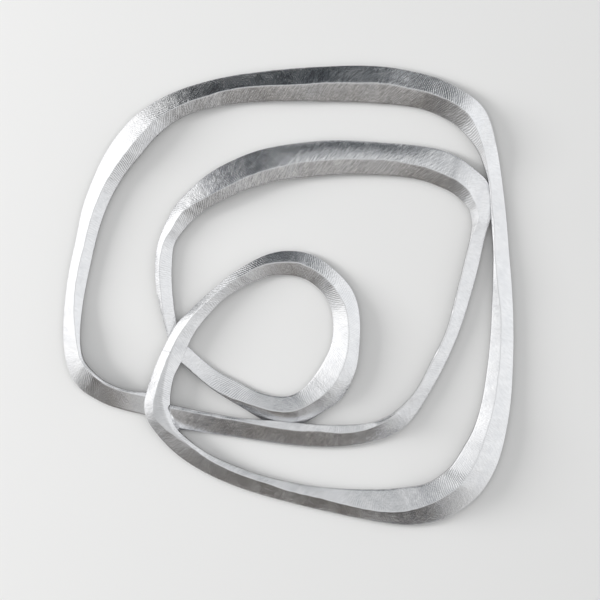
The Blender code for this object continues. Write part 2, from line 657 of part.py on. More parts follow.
def butt_weld(name, run, x, material):
    """Fills the vee two square ends leave across the back, narrower on the inside of a bend."""
    here, before, after = (run.section(at) for at in (x, x - GROOVE, x + GROOVE))
    across = here.right - here.left
    inset = BUTT_INSET / float(np.linalg.norm(across))
    rings = []
    for k in range(7):
        share = inset + (1 - 2 * inset) * k / 6
        p = here.left + across * share
        slim = end_slim(k, 7)
        bead, crown = BEAD * slim, CROWN * slim
        back = (before.left + (before.right - before.left) * share - p) * (bead / GROOVE)
        ahead = (after.left + (after.right - after.left) * share - p) * (bead / GROOVE)
        rings.append([
            world(p + back, 0.0), world(p + back * 0.5, -crown * 0.8), world(p, -crown),
            world(p + ahead * 0.5, -crown * 0.8), world(p + ahead, 0.0), world(p, bead),
        ])
    loft(name, rings, material)


def cope_weld(name, wall, end_points, material):
    """Fills the bevel of a coped end, between that end's left and right corners."""
    left, right = end_points
    rings = []
    for k in range(7):
        p, normal = wall.moved_to(left + (right - left) * (0.12 + 0.76 * k / 6), 0.0)
        slim = end_slim(k, 7)
        bead, crown = COPE_BEAD * slim, CROWN * slim
        near = p + normal * COPE_BEAD_OFF
        far = p + normal * (COPE_BEAD_OFF + bead)
        mid = (near + far) / 2
        rings.append([
            world(near, 0.0), world(near + (mid - near) * 0.6, -crown * 0.8),
            world(mid, -crown), world(far + (mid - far) * 0.5, -crown * 0.7),
            world(far, 0.0), world(near, bead),
        ])
    loft(name, rings, material)


def contact_weld(name, wall, run, centre, contact, material):
    """A bead along the vee between the back chamfers of two lengths that lie side by side."""
    rings = []
    for k, offset in enumerate(np.linspace(-contact.weld, contact.weld, contact.rings)):
        p, normal = wall.moved_to(run.section(centre + offset).left, CONTACT_GAP / 2)
        slim = end_slim(k, contact.rings)
        half, crown = normal * CONTACT_BEAD_HALF * slim, CROWN * slim
        rings.append([
            world(p - half, 0.0), world(p - half * 0.5, -crown * 0.8), world(p, -crown),
            world(p + half * 0.5, -crown * 0.8), world(p + half, 0.0),
            world(p, CONTACT_BEAD_DEPTH * slim),
        ])
    loft(name, rings, material)


# ---- hangers and pads ----
def rounded(w, h, r):
    """A rectangle with rounded corners."""
    corners = []
    for sx, sz, first in ((1, 1, 0), (-1, 1, 90), (-1, -1, 180), (1, -1, 270)):
        for k in range(CORNER_STEPS + 1):
            angle = math.radians(first + 90 * k / CORNER_STEPS)
            x = sx * (w / 2 - r) + r * math.cos(angle)
            corners.append((x, sz * (h / 2 - r) + r * math.sin(angle)))
    return corners


def keyhole():
    """A round entry with a narrower slot running up from it."""
    neck = math.atan2(math.sqrt(KEY_ENTRY_R**2 - KEY_SLOT_R**2), KEY_SLOT_R)
    steps = KEY_STEPS * 2
    entry = [math.pi - neck + (math.pi + 2 * neck) * k / steps for k in range(steps + 1)]
    slot = [math.pi * k / KEY_STEPS for k in range(KEY_STEPS + 1)]
    return [
        (radius * math.cos(angle), z + radius * math.sin(angle))
        for radius, z, angles in (
            (KEY_ENTRY_R, KEY_ENTRY_Z, entry),
            (KEY_SLOT_R, KEY_SLOT_Z, slot),
        )
        for angle in angles
    ]


def hanger_screw(tag, place, material):
    """A countersunk screw with a hexagonal drive, its head towards the wall."""
    profile = [
        (0, -SCREW_TOP),
        (SCREW_HEAD_R - SCREW_RIM_BEVEL, -SCREW_TOP),
        (SCREW_HEAD_R, -SCREW_RIM),
        (SCREW_SHANK_R, -SCREW_RIM - SCREW_HEAD_T),
        (SCREW_SHANK_R, -SCREW_LEN + SCREW_TIP),
        (SCREW_SHANK_R * 0.55, -SCREW_LEN),
        (0, -SCREW_LEN),
    ]
    screw = turned(f"hanger_screw_{tag}", profile, SCREW_SIDES, place, material)
    angles = [math.radians(60 * k) for k in range(6)]
    hexagon = [(DRIVE_R * math.cos(angle), DRIVE_R * math.sin(angle)) for angle in angles]
    cut(screw, prism(f"cutter_drive_{tag}", hexagon, -DRIVE_DEPTH, 0.002, place))


def sink_cutter(tag, place):
    """The countersunk hole for a screw, through the plate and into the bar."""
    head, shank = SCREW_HEAD_R + HOLE_CLEAR, SCREW_SHANK_R + HOLE_CLEAR
    profile = [
        (0, 0.004),
        (head, 0.004),
        (head, -SCREW_RIM),
        (shank, -SCREW_RIM - SCREW_HEAD_T - HOLE_CLEAR * 0.4),
        (shank, -SINK_DEPTH),
        (0, -SINK_DEPTH),
    ]
    return turned(f"cutter_sink_{tag}", profile, SCREW_SIDES, place)


def hanger(side, x, target, plate_material, screw_material):
    """A keyhole plate let into the back of a length, its two screws, and their pockets."""
    place = (x, -PAD_T, HANGER_Z)
    outline = rounded(PLATE_W, PLATE_H, PLATE_CORNER_R)
    plate = prism(f"hanger_plate_{side}", outline, -PLATE_T, 0.0, place, plate_material)
    cut(plate, prism(f"cutter_keyhole_{side}", keyhole(), -0.01, 0.01, place))

    outline = rounded(PLATE_W + 2 * HOLE_CLEAR, PLATE_H + 2 * HOLE_CLEAR, RECESS_CORNER_R)
    cut(target, prism(f"cutter_recess_{side}", outline, -PLATE_T - HOLE_CLEAR, 0.02, place))
    outline = rounded(POCKET_W, POCKET_H, POCKET_CORNER_R)
    cut(target, prism(f"cutter_pocket_{side}", outline, -POCKET_DEPTH, 0.0, place))

    for letter, dx in (("a", -SCREW_DX), ("b", SCREW_DX)):
        tag = f"{side}_{letter}"
        screw_place = (x + dx, -PAD_T, HANGER_Z)
        hanger_screw(tag, screw_place, screw_material)
        sink = sink_cutter(tag, screw_place)
        cut(plate, sink)
        cut(target, sink)


def felt_pads(material):
    front = -PAD_T + PAD_GAP
    profile = [(0, 0), (PAD_R, 0), (PAD_R, front), (0, front)]
    for name, (x, z) in PADS.items():
        turned(f"felt_pad_{name}", profile, PAD_SIDES, (x * MM, 0.0, z * MM), material)


def make_material(name, colour, roughness, metallic):
    material = bpy.data.materials.new(name)
    material.use_nodes = True
    inputs = material.node_tree.nodes["Principled BSDF"].inputs
    inputs["Base Color"].default_value = (*colour, 1.0)
    inputs["Roughness"].default_value = roughness
    inputs["Metallic"].default_value = metallic
    return material


# ---- the whole ----
def ground_contact(leant_on, ground, contact):
    """Grinds one run's left edge clear of the other's right wall. Returns wall and centre."""
    start = leant_on.nearest(contact.on) + contact.start
    wall = SideWall(leant_on, RIGHT, start, contact.count, CONTACT_STEP)
    centre = ground.nearest(contact.ground)
    ground.clip = clip_to(wall, centre, contact.flat)
    return wall, centre


def build():
    cast = make_material(
        "cast_aluminium", colour=(0.78, 0.79, 0.80), roughness=0.32, metallic=1.0)
    weld = make_material(
        "weld_aluminium", colour=(0.62, 0.62, 0.63), roughness=0.45, metallic=1.0)
    zinc = make_material("zinc_plate", colour=(0.66, 0.68, 0.70), roughness=0.35, metallic=1.0)
    steel = make_material("screw_steel", colour=(0.55, 0.56, 0.58), roughness=0.30, metallic=1.0)
    felt = make_material("felt", colour=(0.10, 0.10, 0.11), roughness=0.95, metallic=0.0)

    outer, middle = Run(OUTER_RUN), Run(MIDDLE_RUN)
    right_wall, corner_x = ground_contact(outer, middle, RIGHT_CONTACT)
    under_wall, loop_x = ground_contact(middle, outer, UNDER_CONTACT)

    walls = {
        name: SideWall(outer, side, outer.nearest(point) + start, count, COPE_STEP)
        for name, (point, side, start, count) in COPE_WALLS.items()
    }
    copes = {name: cope_cutter(f"cutter_{name}", wall) for name, wall in walls.items()}

    outer_bars = run_lengths(
        outer, OUTER_LENGTHS, OUTER_BUTTS, copes["tip_left"], copes["rise_right"], cast, weld)
    run_lengths(
        middle, MIDDLE_LENGTHS, MIDDLE_BUTTS, copes["rise_left"], copes["tip_right"], cast, weld)

    coped_ends = {
        "tip_left": outer.edge_points(0.0),
        "tip_right": middle.edge_points(middle.length()),
        "rise_left": middle.edge_points(0.0),
        "rise_right": outer.edge_points(outer.length()),
    }
    for name, end_points in coped_ends.items():
        cope_weld(f"weld_{name}_cope", walls[name], end_points, weld)
    contact_weld("weld_right_contact", right_wall, middle, corner_x, RIGHT_CONTACT, weld)
    contact_weld("weld_under_contact", under_wall, outer, loop_x, UNDER_CONTACT, weld)

    for side, x in HANGER_X.items():
        hanger(side, x, outer_bars["top_bar"], zinc, steel)
    felt_pads(felt)


for old in list(bpy.data.objects):
    bpy.data.objects.remove(old)
ROOT = bpy.data.objects.new("sculpture", None)
bpy.context.scene.collection.objects.link(ROOT)
build()
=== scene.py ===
"""Looks for the free-form wall sculpture: ground aluminium bar, welds, hangers and pads, on a pale wall."""

import json
import math

import bmesh
import bpy
import numpy as np
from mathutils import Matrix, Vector

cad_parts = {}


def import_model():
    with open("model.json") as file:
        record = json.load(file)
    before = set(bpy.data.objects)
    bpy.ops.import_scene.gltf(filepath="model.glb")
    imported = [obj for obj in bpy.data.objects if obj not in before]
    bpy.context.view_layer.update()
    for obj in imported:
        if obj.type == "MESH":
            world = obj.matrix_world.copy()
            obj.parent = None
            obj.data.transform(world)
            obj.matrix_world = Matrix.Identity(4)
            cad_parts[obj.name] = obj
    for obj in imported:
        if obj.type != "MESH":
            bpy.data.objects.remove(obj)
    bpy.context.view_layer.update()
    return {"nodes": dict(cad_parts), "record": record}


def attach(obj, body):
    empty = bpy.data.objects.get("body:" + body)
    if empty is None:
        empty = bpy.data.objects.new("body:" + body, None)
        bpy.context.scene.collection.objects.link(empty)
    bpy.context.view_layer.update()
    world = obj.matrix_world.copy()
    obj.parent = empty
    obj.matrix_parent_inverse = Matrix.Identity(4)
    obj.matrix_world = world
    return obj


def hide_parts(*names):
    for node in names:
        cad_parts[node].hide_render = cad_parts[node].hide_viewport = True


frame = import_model()
RECORD = frame["record"]

# ---- layout, as in the design ------------------------------------------------------------------------------------
UNIT = 0.00155
SHEET_X, SHEET_Y = 320.0, 86.0
PAD_T = 0.0015
EDGE = 0.0045
SLOPE = 35.5
BACK_CHAMFER = 0.0015
OUTER_RUN = [
    # foot of the outer loop, from its coped end at the left tip
    (143.4, 414.6, 146.2, 392.4, 0.82, 0.84, 19, 20),
    (131.0, 411.9, 134.0, 391.3, 0.88, 0.90, 23, 22),
    (119.0, 408.8, 123.0, 389.0, 0.90, 0.92, 28, 24),
    (106.0, 404.4, 113.0, 385.3, 0.91, 0.93, 31, 26),
    (93.5, 398.0, 103.0, 379.8, 0.91, 0.93, 33, 29),
    (82.5, 391.0, 94.5, 372.6, 0.91, 0.93, 36, 36),
    (73.6, 381.0, 87.5, 365.2, 0.90, 0.92, 36, 36),
    (67.4, 367.0, 83.0, 356.6, 0.87, 0.89),
    (64.3, 352.0, 81.1, 347.0, 0.84, 0.86),
    # left side
    (63.0, 334.0, 80.5, 333.5, 0.76, 0.77),
    (64.0, 311.0, 82.0, 311.5, 0.60, 0.60),
    (66.6, 287.0, 85.6, 287.5, 0.49, 0.49),
    (70.6, 263.0, 90.9, 262.5, 0.49, 0.49),
    (76.1, 238.0, 96.8, 237.0, 0.52, 0.52),
    (82.5, 207.5, 106.2, 208.5, 0.54, 0.54),
    (92.5, 180.0, 116.0, 188.5, 0.57, 0.57),
    (104.0, 155.5, 128.3, 169.8, 0.61, 0.61),
    (118.0, 134.2, 141.2, 154.2, 0.63, 0.63),
    # top
    (134.2, 116.4, 154.2, 138.8, 0.63, 0.63),
    (152.5, 103.2, 170.0, 124.9, 0.59, 0.59, 36, 36),
    (174.0, 92.0, 186.5, 115.2, 0.60, 0.60, 36, 34),
    (198.0, 83.7, 205.0, 109.2, 0.59, 0.59, 36, 33),
    (224.0, 77.2, 228.0, 105.0, 0.51, 0.51, 36, 33),
    (255.0, 72.4, 257.0, 102.3, 0.50, 0.50, 36, 33),
    (290.0, 68.6, 290.0, 101.5, 0.54, 0.54, 36, 32),
    (325.0, 66.5, 324.0, 101.9, 0.50, 0.50, 33, 32),
    (358.0, 65.6, 355.0, 102.5, 0.50, 0.50, 31, 32),
    (390.0, 67.5, 384.0, 104.2, 0.48, 0.48, 31, 32),
    (418.0, 72.6, 408.5, 106.7, 0.52, 0.52, 32, 33),
    (440.0, 79.0, 427.5, 111.2, 0.51, 0.51, 34, 36),
    (459.0, 88.8, 443.5, 118.0, 0.49, 0.49, 34, 36, 1.5),
    # upper right corner
    (474.0, 98.6, 456.5, 125.9, 0.52, 0.52, 33, 36, 3),
    (485.0, 110.2, 467.0, 136.2, 0.60, 0.60, 31, 34, 2),
    (491.5, 124.5, 475.5, 147.2, 0.72, 0.72, 31, 36),
    (495.8, 142.0, 481.3, 159.0, 0.78, 0.79, 30, 36),
    (499.3, 161.0, 485.3, 171.0, 0.85, 0.87, 28, 34),
    # right side
    (502.2, 182.0, 488.3, 183.5, 0.90, 0.92, 26, 31),
    (504.8, 203.0, 490.0, 203.5, 0.88, 0.90, 25, 31),
    (507.0, 225.0, 491.3, 225.0, 0.84, 0.86, 26, 31),
    (508.9, 250.0, 492.8, 250.0, 0.89, 0.92, 28, 29),
    (511.4, 280.0, 492.6, 280.0, 0.79, 0.79, 30, 29),
    (513.1, 311.0, 491.7, 310.5, 0.61, 0.61, 31, 29),
    (513.5, 342.0, 490.0, 342.0, 0.56, 0.56, 31, 29),
    (512.7, 372.0, 486.6, 372.0, 0.56, 0.56, 31, 29),
    (510.7, 402.0, 481.5, 402.0, 0.58, 0.58, 32, 29),
    (506.5, 430.0, 472.8, 430.0, 0.60, 0.60, 34, 29),
    # lower right corner
    (499.4, 458.5, 461.5, 450.5, 0.57, 0.57, 34, 28),
    (490.5, 478.5, 451.3, 465.8, 0.55, 0.55, 34, 28),
    (478.0, 496.0, 440.8, 475.2, 0.54, 0.54, 36, 28),
    (462.0, 509.0, 430.6, 481.6, 0.53, 0.53, 36, 27),
    (444.0, 519.0, 419.0, 485.4, 0.51, 0.51, 36, 26),
    (424.0, 524.1, 405.0, 487.3, 0.45, 0.45, 36, 26),
    # bottom
    (402.0, 524.7, 390.0, 489.0, 0.38, 0.38, 36, 25),
    (378.0, 522.0, 372.0, 489.6, 0.37, 0.37, 36, 25),
    (350.0, 516.6, 350.0, 489.1, 0.42, 0.42, 36, 25),
    (318.0, 509.6, 323.0, 487.1, 0.54, 0.54, 36, 25),
    (285.0, 501.4, 292.0, 482.5, 0.60, 0.60, 36, 25),
    (252.0, 492.0, 260.5, 474.8, 0.72, 0.72, 36, 27),
    (224.0, 481.8, 232.0, 464.6, 0.72, 0.72, 36, 26),
    (200.0, 470.0, 208.0, 453.3, 0.79, 0.80, 34, 25),
    (181.0, 457.6, 192.0, 442.3, 0.81, 0.84, 32, 25, 1.5),
    # left tip, where the foot of the outer loop and the middle loop are coped against the bar
    (166.0, 444.2, 180.3, 432.0, 0.72, 0.84, 30, 26, 3.5),
    (154.5, 430.6, 173.3, 422.0, 0.50, 0.84, 31, 28, 6),
    (147.2, 418.8, 171.0, 410.5, 0.34, 0.78, 32, 28, 8),
    (144.6, 404.5, 170.5, 399.0, 0.38, 0.72, 31, 28, 9.5),
    (147.0, 390.7, 171.6, 388.0, 0.42, 0.70, 32, 28, 10),
    (151.7, 376.5, 174.6, 375.5, 0.40, 0.62, 36, 28, 9.5),
    (158.7, 358.6, 180.8, 363.0, 0.38, 0.50, 36, 28, 9),
    # second crossing
    (167.2, 341.2, 188.2, 345.2, 0.37, 0.42, 36, 28, 8.5),
    (176.6, 324.2, 197.7, 328.0, 0.43, 0.45, 36, 28, 7.5),
    (189.0, 311.4, 208.7, 314.6, 0.39, 0.39, 36, 28, 6.5),
    (203.0, 298.0, 221.0, 301.6, 0.41, 0.41, 36, 29, 5),
    (218.0, 285.0, 233.7, 292.3, 0.40, 0.40, 36, 30, 4),
    # small loop, over the top
    (233.0, 273.0, 246.0, 285.4, 0.41, 0.41, 36, 31, 3),
    (249.0, 263.2, 258.0, 280.2, 0.40, 0.40, 32, 30, 2),
    (265.0, 255.2, 270.0, 276.1, 0.44, 0.44, 32, 30, 1),
    (281.0, 251.2, 282.5, 274.9, 0.48, 0.48, 32, 30),
    (297.0, 251.2, 294.5, 276.0, 0.46, 0.46, 32, 30),
    (312.0, 254.8, 306.0, 279.7, 0.51, 0.51, 32, 30),
    (327.0, 263.7, 315.5, 286.0, 0.49, 0.49, 34, 34),
    (340.0, 275.0, 322.7, 293.2, 0.50, 0.50, 34, 36),
    (350.5, 287.4, 328.6, 302.3, 0.52, 0.52, 33, 36),
    (357.0, 302.0, 332.0, 313.0, 0.47, 0.47, 33, 36),
    (359.9, 321.5, 333.1, 325.0, 0.43, 0.43, 33, 36),
    (359.5, 344.0, 332.0, 340.5, 0.405, 0.405, 33, 34),
    (356.6, 366.5, 327.5, 354.0, 0.395, 0.395, 34, 31),
    (349.8, 385.5, 320.0, 367.5, 0.41, 0.41, 36, 30),
    (338.0, 402.0, 309.7, 381.8, 0.45, 0.45, 36, 28),
    (322.0, 412.5, 299.0, 391.4, 0.46, 0.46, 34, 26),
    # small loop, underside: it leans on the middle loop, and that edge is ground to a flat
    (305.0, 422.5, 288.5, 395.9, 0.50, 0.50, 32, 25),
    (284.0, 426.5, 276.0, 396.2, 0.50, 0.50, 32, 25),
    (262.0, 419.5, 263.5, 393.7, 0.46, 0.46, 33, 25),
    (245.0, 409.3, 249.5, 388.4, 0.33, 0.33, 33, 25),
    (227.0, 398.5, 234.5, 380.3, 0.13, 0.14, 34, 24),
    (207.0, 385.0, 217.0, 371.2, 0.07, 0.09, 34, 23),
    (192.0, 372.3, 200.5, 358.3, 0.07, 0.09, 34, 21),
    (181.6, 363.2, 188.2, 346.8, 0.07, 0.09, 34, 19),
]

MIDDLE_RUN = [
    # left side of the middle loop, from its coped end at the second crossing
    (167.9, 337.6, 176.8, 322.6, 0.10, 0.13, 34, 17),
    (163.6, 322.0, 174.8, 313.5, 0.14, 0.16, 36, 20),
    (159.7, 306.5, 173.2, 301.5, 0.22, 0.22, 34.5, 24),
    (156.6, 291.0, 172.0, 288.0, 0.29, 0.29, 34.5, 27),
    (155.1, 275.0, 171.5, 273.5, 0.28, 0.28, 34.5, 28, 0.4),
    (155.7, 257.0, 172.2, 257.5, 0.31, 0.31, 34.5, 28, 1),
    (159.0, 240.0, 174.8, 243.0, 0.37, 0.37, 34.5, 28, 2),
    (165.0, 225.0, 182.0, 232.3, 0.45, 0.45, 34.5, 29, 2.5),
    (173.8, 208.0, 190.5, 222.5, 0.46, 0.46, 36, 30, 2.5),
    (185.0, 194.3, 201.4, 213.3, 0.55, 0.55, 34, 31, 1.5),
    # top of the middle loop
    (199.0, 181.2, 213.0, 205.3, 0.65, 0.65, 31.5, 31, 0.5),
    (214.0, 170.2, 226.0, 198.9, 0.68, 0.68, 30.5, 32),
    (232.0, 160.7, 242.0, 191.4, 0.67, 0.67, 30.5, 30),
    (253.0, 152.1, 260.0, 185.4, 0.645, 0.645, 30, 30),
    (277.0, 146.1, 281.0, 180.5, 0.62, 0.62, 29, 29),
    (303.0, 142.3, 304.0, 177.9, 0.57, 0.57, 28, 29),
    (331.0, 140.2, 330.0, 175.4, 0.57, 0.57, 28, 29),
    (359.0, 140.8, 356.0, 174.8, 0.55, 0.55, 28, 29),
    (386.0, 142.7, 381.0, 175.5, 0.54, 0.54, 28, 29),
    (411.0, 144.7, 404.0, 177.3, 0.58, 0.58, 27, 31),
    (433.0, 148.0, 423.0, 180.8, 0.62, 0.62, 25, 33),
    (450.0, 153.0, 439.0, 186.6, 0.64, 0.64, 23.5, 34),
    (463.0, 160.6, 452.0, 193.0, 0.62, 0.62, 23, 36, 1.5),
    # corner that leans on the right side of the outer loop, ground to a flat there
    (475.0, 169.8, 462.0, 201.2, 0.645, 0.645, 22, 36, 2),
    (487.0, 180.8, 469.0, 210.2, 0.73, 0.73, 20, 36, 1.5),
    (493.0, 191.0, 471.0, 217.5, 0.72, 0.72, 19, 36, 2.5),
    (494.5, 204.0, 471.7, 223.5, 0.72, 0.72, 19, 36, 4),
    (491.0, 218.0, 471.2, 229.5, 0.78, 0.78, 19, 36, 4.5),
    (486.3, 232.0, 469.8, 238.7, 0.90, 0.92, 20, 36, 3.5),
    # right side of the middle loop
    (481.7, 251.0, 466.0, 254.5, 0.93, 0.95, 23, 36, 2),
    (476.0, 276.0, 460.4, 277.0, 0.93, 0.95, 26, 36, 1),
    (469.0, 301.0, 454.2, 301.0, 0.91, 0.93, 29, 36),
    (461.5, 325.0, 448.0, 324.5, 0.90, 0.92, 31, 36),
    (452.6, 347.5, 439.7, 345.0, 0.90, 0.92, 31, 36),
    (443.0, 368.0, 429.3, 365.0, 0.90, 0.92, 31, 36),
    (433.0, 386.6, 418.3, 386.5, 0.91, 0.93, 31, 36),
    (422.0, 405.0, 405.7, 402.0, 0.91, 0.93, 31, 36),
    (409.5, 422.0, 391.3, 414.0, 0.88, 0.90, 34, 34),
    # underside of the middle loop
    (392.0, 435.0, 375.0, 421.2, 0.78, 0.80, 36, 28),
    (370.0, 442.4, 358.0, 424.2, 0.66, 0.68, 33, 20),
    (345.0, 446.4, 338.0, 425.0, 0.64, 0.66, 32, 20),
    (318.0, 447.0, 318.0, 424.5, 0.72, 0.76, 32, 20),
    (290.0, 445.0, 292.0, 421.9, 0.66, 0.70, 34, 22),
    (262.0, 441.3, 264.0, 419.6, 0.74, 0.78, 33, 23),
    (236.0, 437.1, 238.0, 417.5, 0.84, 0.88, 31, 25),
    (212.0, 433.6, 213.0, 413.4, 0.86, 0.90, 30, 27),
    (191.0, 430.7, 192.0, 409.2, 0.86, 0.90, 28, 27),
    (174.8, 429.3, 171.3, 404.6, 0.86, 0.88, 26, 27),
]

# Butt joints, as the layout point of the bar's middle nearest the joint, and the lengths between them in order.
OUTER_LENGTHS = ["outer_left_bar", "top_bar", "right_bar", "bottom_bar", "small_loop_upper_bar", "small_loop_lower_bar"]
OUTER_BUTTS = {
    "top_left": (139.5, 123.5),
    "top_right": (458.0, 107.0),
    "bottom_right": (459.0, 487.0),
    "rise": (173.0, 352.5),
    "small_loop": (339.0, 368.0),
}
MIDDLE_LENGTHS = ["middle_left_bar", "middle_top_bar", "middle_right_bar", "middle_bottom_bar"]
MIDDLE_BUTTS = {"middle_left": (197.5, 196.5), "middle_top": (458.0, 175.0), "middle_right": (412.0, 406.0)}


def natural_spline(t, v):
    n = len(t)
    a, r = np.zeros((n, n)), np.zeros(n)
    a[0, 0] = a[-1, -1] = 1.0
    for i in range(1, n - 1):
        h0, h1 = t[i] - t[i - 1], t[i + 1] - t[i]
        a[i, i - 1], a[i, i], a[i, i + 1] = h0, 2 * (h0 + h1), h1
        r[i] = 6 * ((v[i + 1] - v[i]) / h1 - (v[i] - v[i - 1]) / h0)
    return np.linalg.solve(a, r)


def spline_at(t, v, m, x):
    i = np.clip(np.searchsorted(t, x) - 1, 0, len(t) - 2)
    h = t[i + 1] - t[i]
    p, q = (t[i + 1] - x) / h, (x - t[i]) / h
    return p * v[i] + q * v[i + 1] + ((p**3 - p) * m[i] + (q**3 - q) * m[i + 1]) * h * h / 6


def eased(t, v, x):
    """Passes through v at t without overshooting, with no flat spots between: a monotone cubic."""
    v = np.asarray(v, float)
    h = np.diff(t)
    d = np.diff(v) / h
    m = np.zeros_like(v)
    m[0], m[-1] = d[0], d[-1]
    for i in range(1, len(v) - 1):
        if d[i - 1] * d[i] > 0:
            a, b = 2 * h[i] + h[i - 1], h[i] + 2 * h[i - 1]
            m[i] = (a + b) / (a / d[i - 1] + b / d[i])
    i = np.clip(np.searchsorted(t, x) - 1, 0, len(t) - 2)
    q = np.clip((x - t[i]) / h[i], 0, 1)
    p = 1 - q
    return v[i] * p * p * (1 + 2 * q) + v[i + 1] * q * q * (1 + 2 * p) + h[i] * p * q * (m[i] * p - m[i + 1] * q)


class Run:
    """A run of bar between two coped ends, read at many positions at once."""

    def __init__(self, rows, base):
        self.base = base  # where this run starts along the whole bar, in metres
        left = np.array([r[0:2] for r in rows], float)
        right = np.array([r[2:4] for r in rows], float)
        mid = (left + right) / 2
        self.t = np.concatenate([[0.0], np.cumsum(np.linalg.norm(np.diff(mid, axis=0), axis=1))])
        self.edges = [(c, natural_spline(self.t, c)) for c in (left[:, 0], left[:, 1], right[:, 0], right[:, 1])]
        self.f1, self.f2 = [r[4] for r in rows], [r[5] for r in rows]
        self.sl = [math.tan(math.radians(r[6] if len(r) > 6 else SLOPE)) for r in rows]
        self.sr = [math.tan(math.radians(r[7] if len(r) > 7 else SLOPE)) for r in rows]
        self.lift = [r[8] / 1000 if len(r) > 8 else 0.0 for r in rows]
        self.clip = None

    def length(self):
        return float(self.t[-1])

    def edge_points(self, x):
        x = np.atleast_1d(np.asarray(x, float))
        a, b, c, d = (spline_at(self.t, v, m, x) for v, m in self.edges)
        return np.stack([a, b], 1), np.stack([c, d], 1)

    def middle(self, x):
        a, b = self.edge_points(x)
        return (a + b) / 2

    def heading(self, x):
        x = np.atleast_1d(np.asarray(x, float))
        d = self.middle(np.minimum(x + 0.5, self.length())) - self.middle(np.maximum(x - 0.5, 0.0))
        return d / np.linalg.norm(d, axis=1)[:, None]

    def heights(self, x, f1, f2, wide):
        """Left wall, right wall and ridge heights: the ridge stands where the steeper-reaching facet takes it."""
        a = f1 * wide * eased(self.t, self.sl, x)
        b = (1 - f2) * wide * eased(self.t, self.sr, x)
        top = (a + b + np.sqrt((a - b) ** 2 + 0.002**2)) / 2
        h = EDGE + eased(self.t, self.lift, x) + top
        return h - a, h - b, h

    def extra_crown(self, x):
        """Where the left facet was worked into a fuller curve."""
        if self.base < 1:
            return 0.0 * x
        a, b = self.nearest((272.0, 163.0)), self.nearest((438.0, 166.0))
        rise = np.clip((x - a) / 25, 0, 1) * np.clip((b - x) / 25, 0, 1)
        return 0.30 * rise * rise * (3 - 2 * rise)

    def nearest(self, point):
        xs = np.arange(0.0, self.length(), 0.25)
        return float(xs[int(np.argmin(np.linalg.norm(self.middle(xs) - np.array(point), axis=1)))])


def edge_line(run, side, x0, x1, step=1.5):
    return run.edge_points(np.arange(x0, x1, step))[side]


def signed_gap(line, point, side):
    a, d = line[:-1], np.diff(line, axis=0)
    q = np.clip(((point - a) * d).sum(1) / (d * d).sum(1), 0, 1)
    away = np.linalg.norm(point - (a + d * q[:, None]), axis=1)
    i = int(np.argmin(away))
    cross = d[i, 0] * (point[1] - a[i, 1]) - d[i, 1] * (point[0] - a[i, 0])
    return float(np.sign(cross) * side * away[i]), np.array([-d[i, 1], d[i, 0]]) / np.linalg.norm(d[i]) * side


def normals(line, side):
    d = np.gradient(line, axis=0)
    n = np.stack([-d[:, 1], d[:, 0]], axis=1) * side
    return n / np.linalg.norm(n, axis=1)[:, None]


def clip_to(line, side, gap, x0, x1):
    def rule(x, left, right):
        if not x0 <= x <= x1:
            return 0.0
        across, cut = right - left, 0.0
        for _ in range(4):
            d, n = signed_gap(line, left + across * cut, side)
            if d >= gap - 1e-6:
                break
            cut += (gap - d) / max(float(across @ n), 1e-6)
        return min(max(cut, 0.0), 0.8)

    return rule


def world(points, heights):
    points, heights = np.asarray(points, float), np.asarray(heights, float)
    return np.stack([(points[..., 0] - SHEET_X) * UNIT, -(PAD_T + heights) + 0 * points[..., 0], (SHEET_Y - points[..., 1]) * UNIT], axis=-1)


# ---- waves that a hand-held grinder leaves -----------------------------------------------------------------------
def wave(x, seed, scale):
    """A smooth wandering value in about -1..1 along x, the same every run."""
    r = np.random.RandomState(seed)
    total = np.zeros_like(x)
    for k in range(5):
        f = (0.6 + 0.75 * k + r.rand() * 0.5) / scale
        total += np.sin(2 * math.pi * (x * f + r.rand())) / (1 + 0.6 * k)
    return total / 2.2


LEFT_N, RIGHT_N, RIDGE_N = 12, 12, 4
GROOVE = 0.004


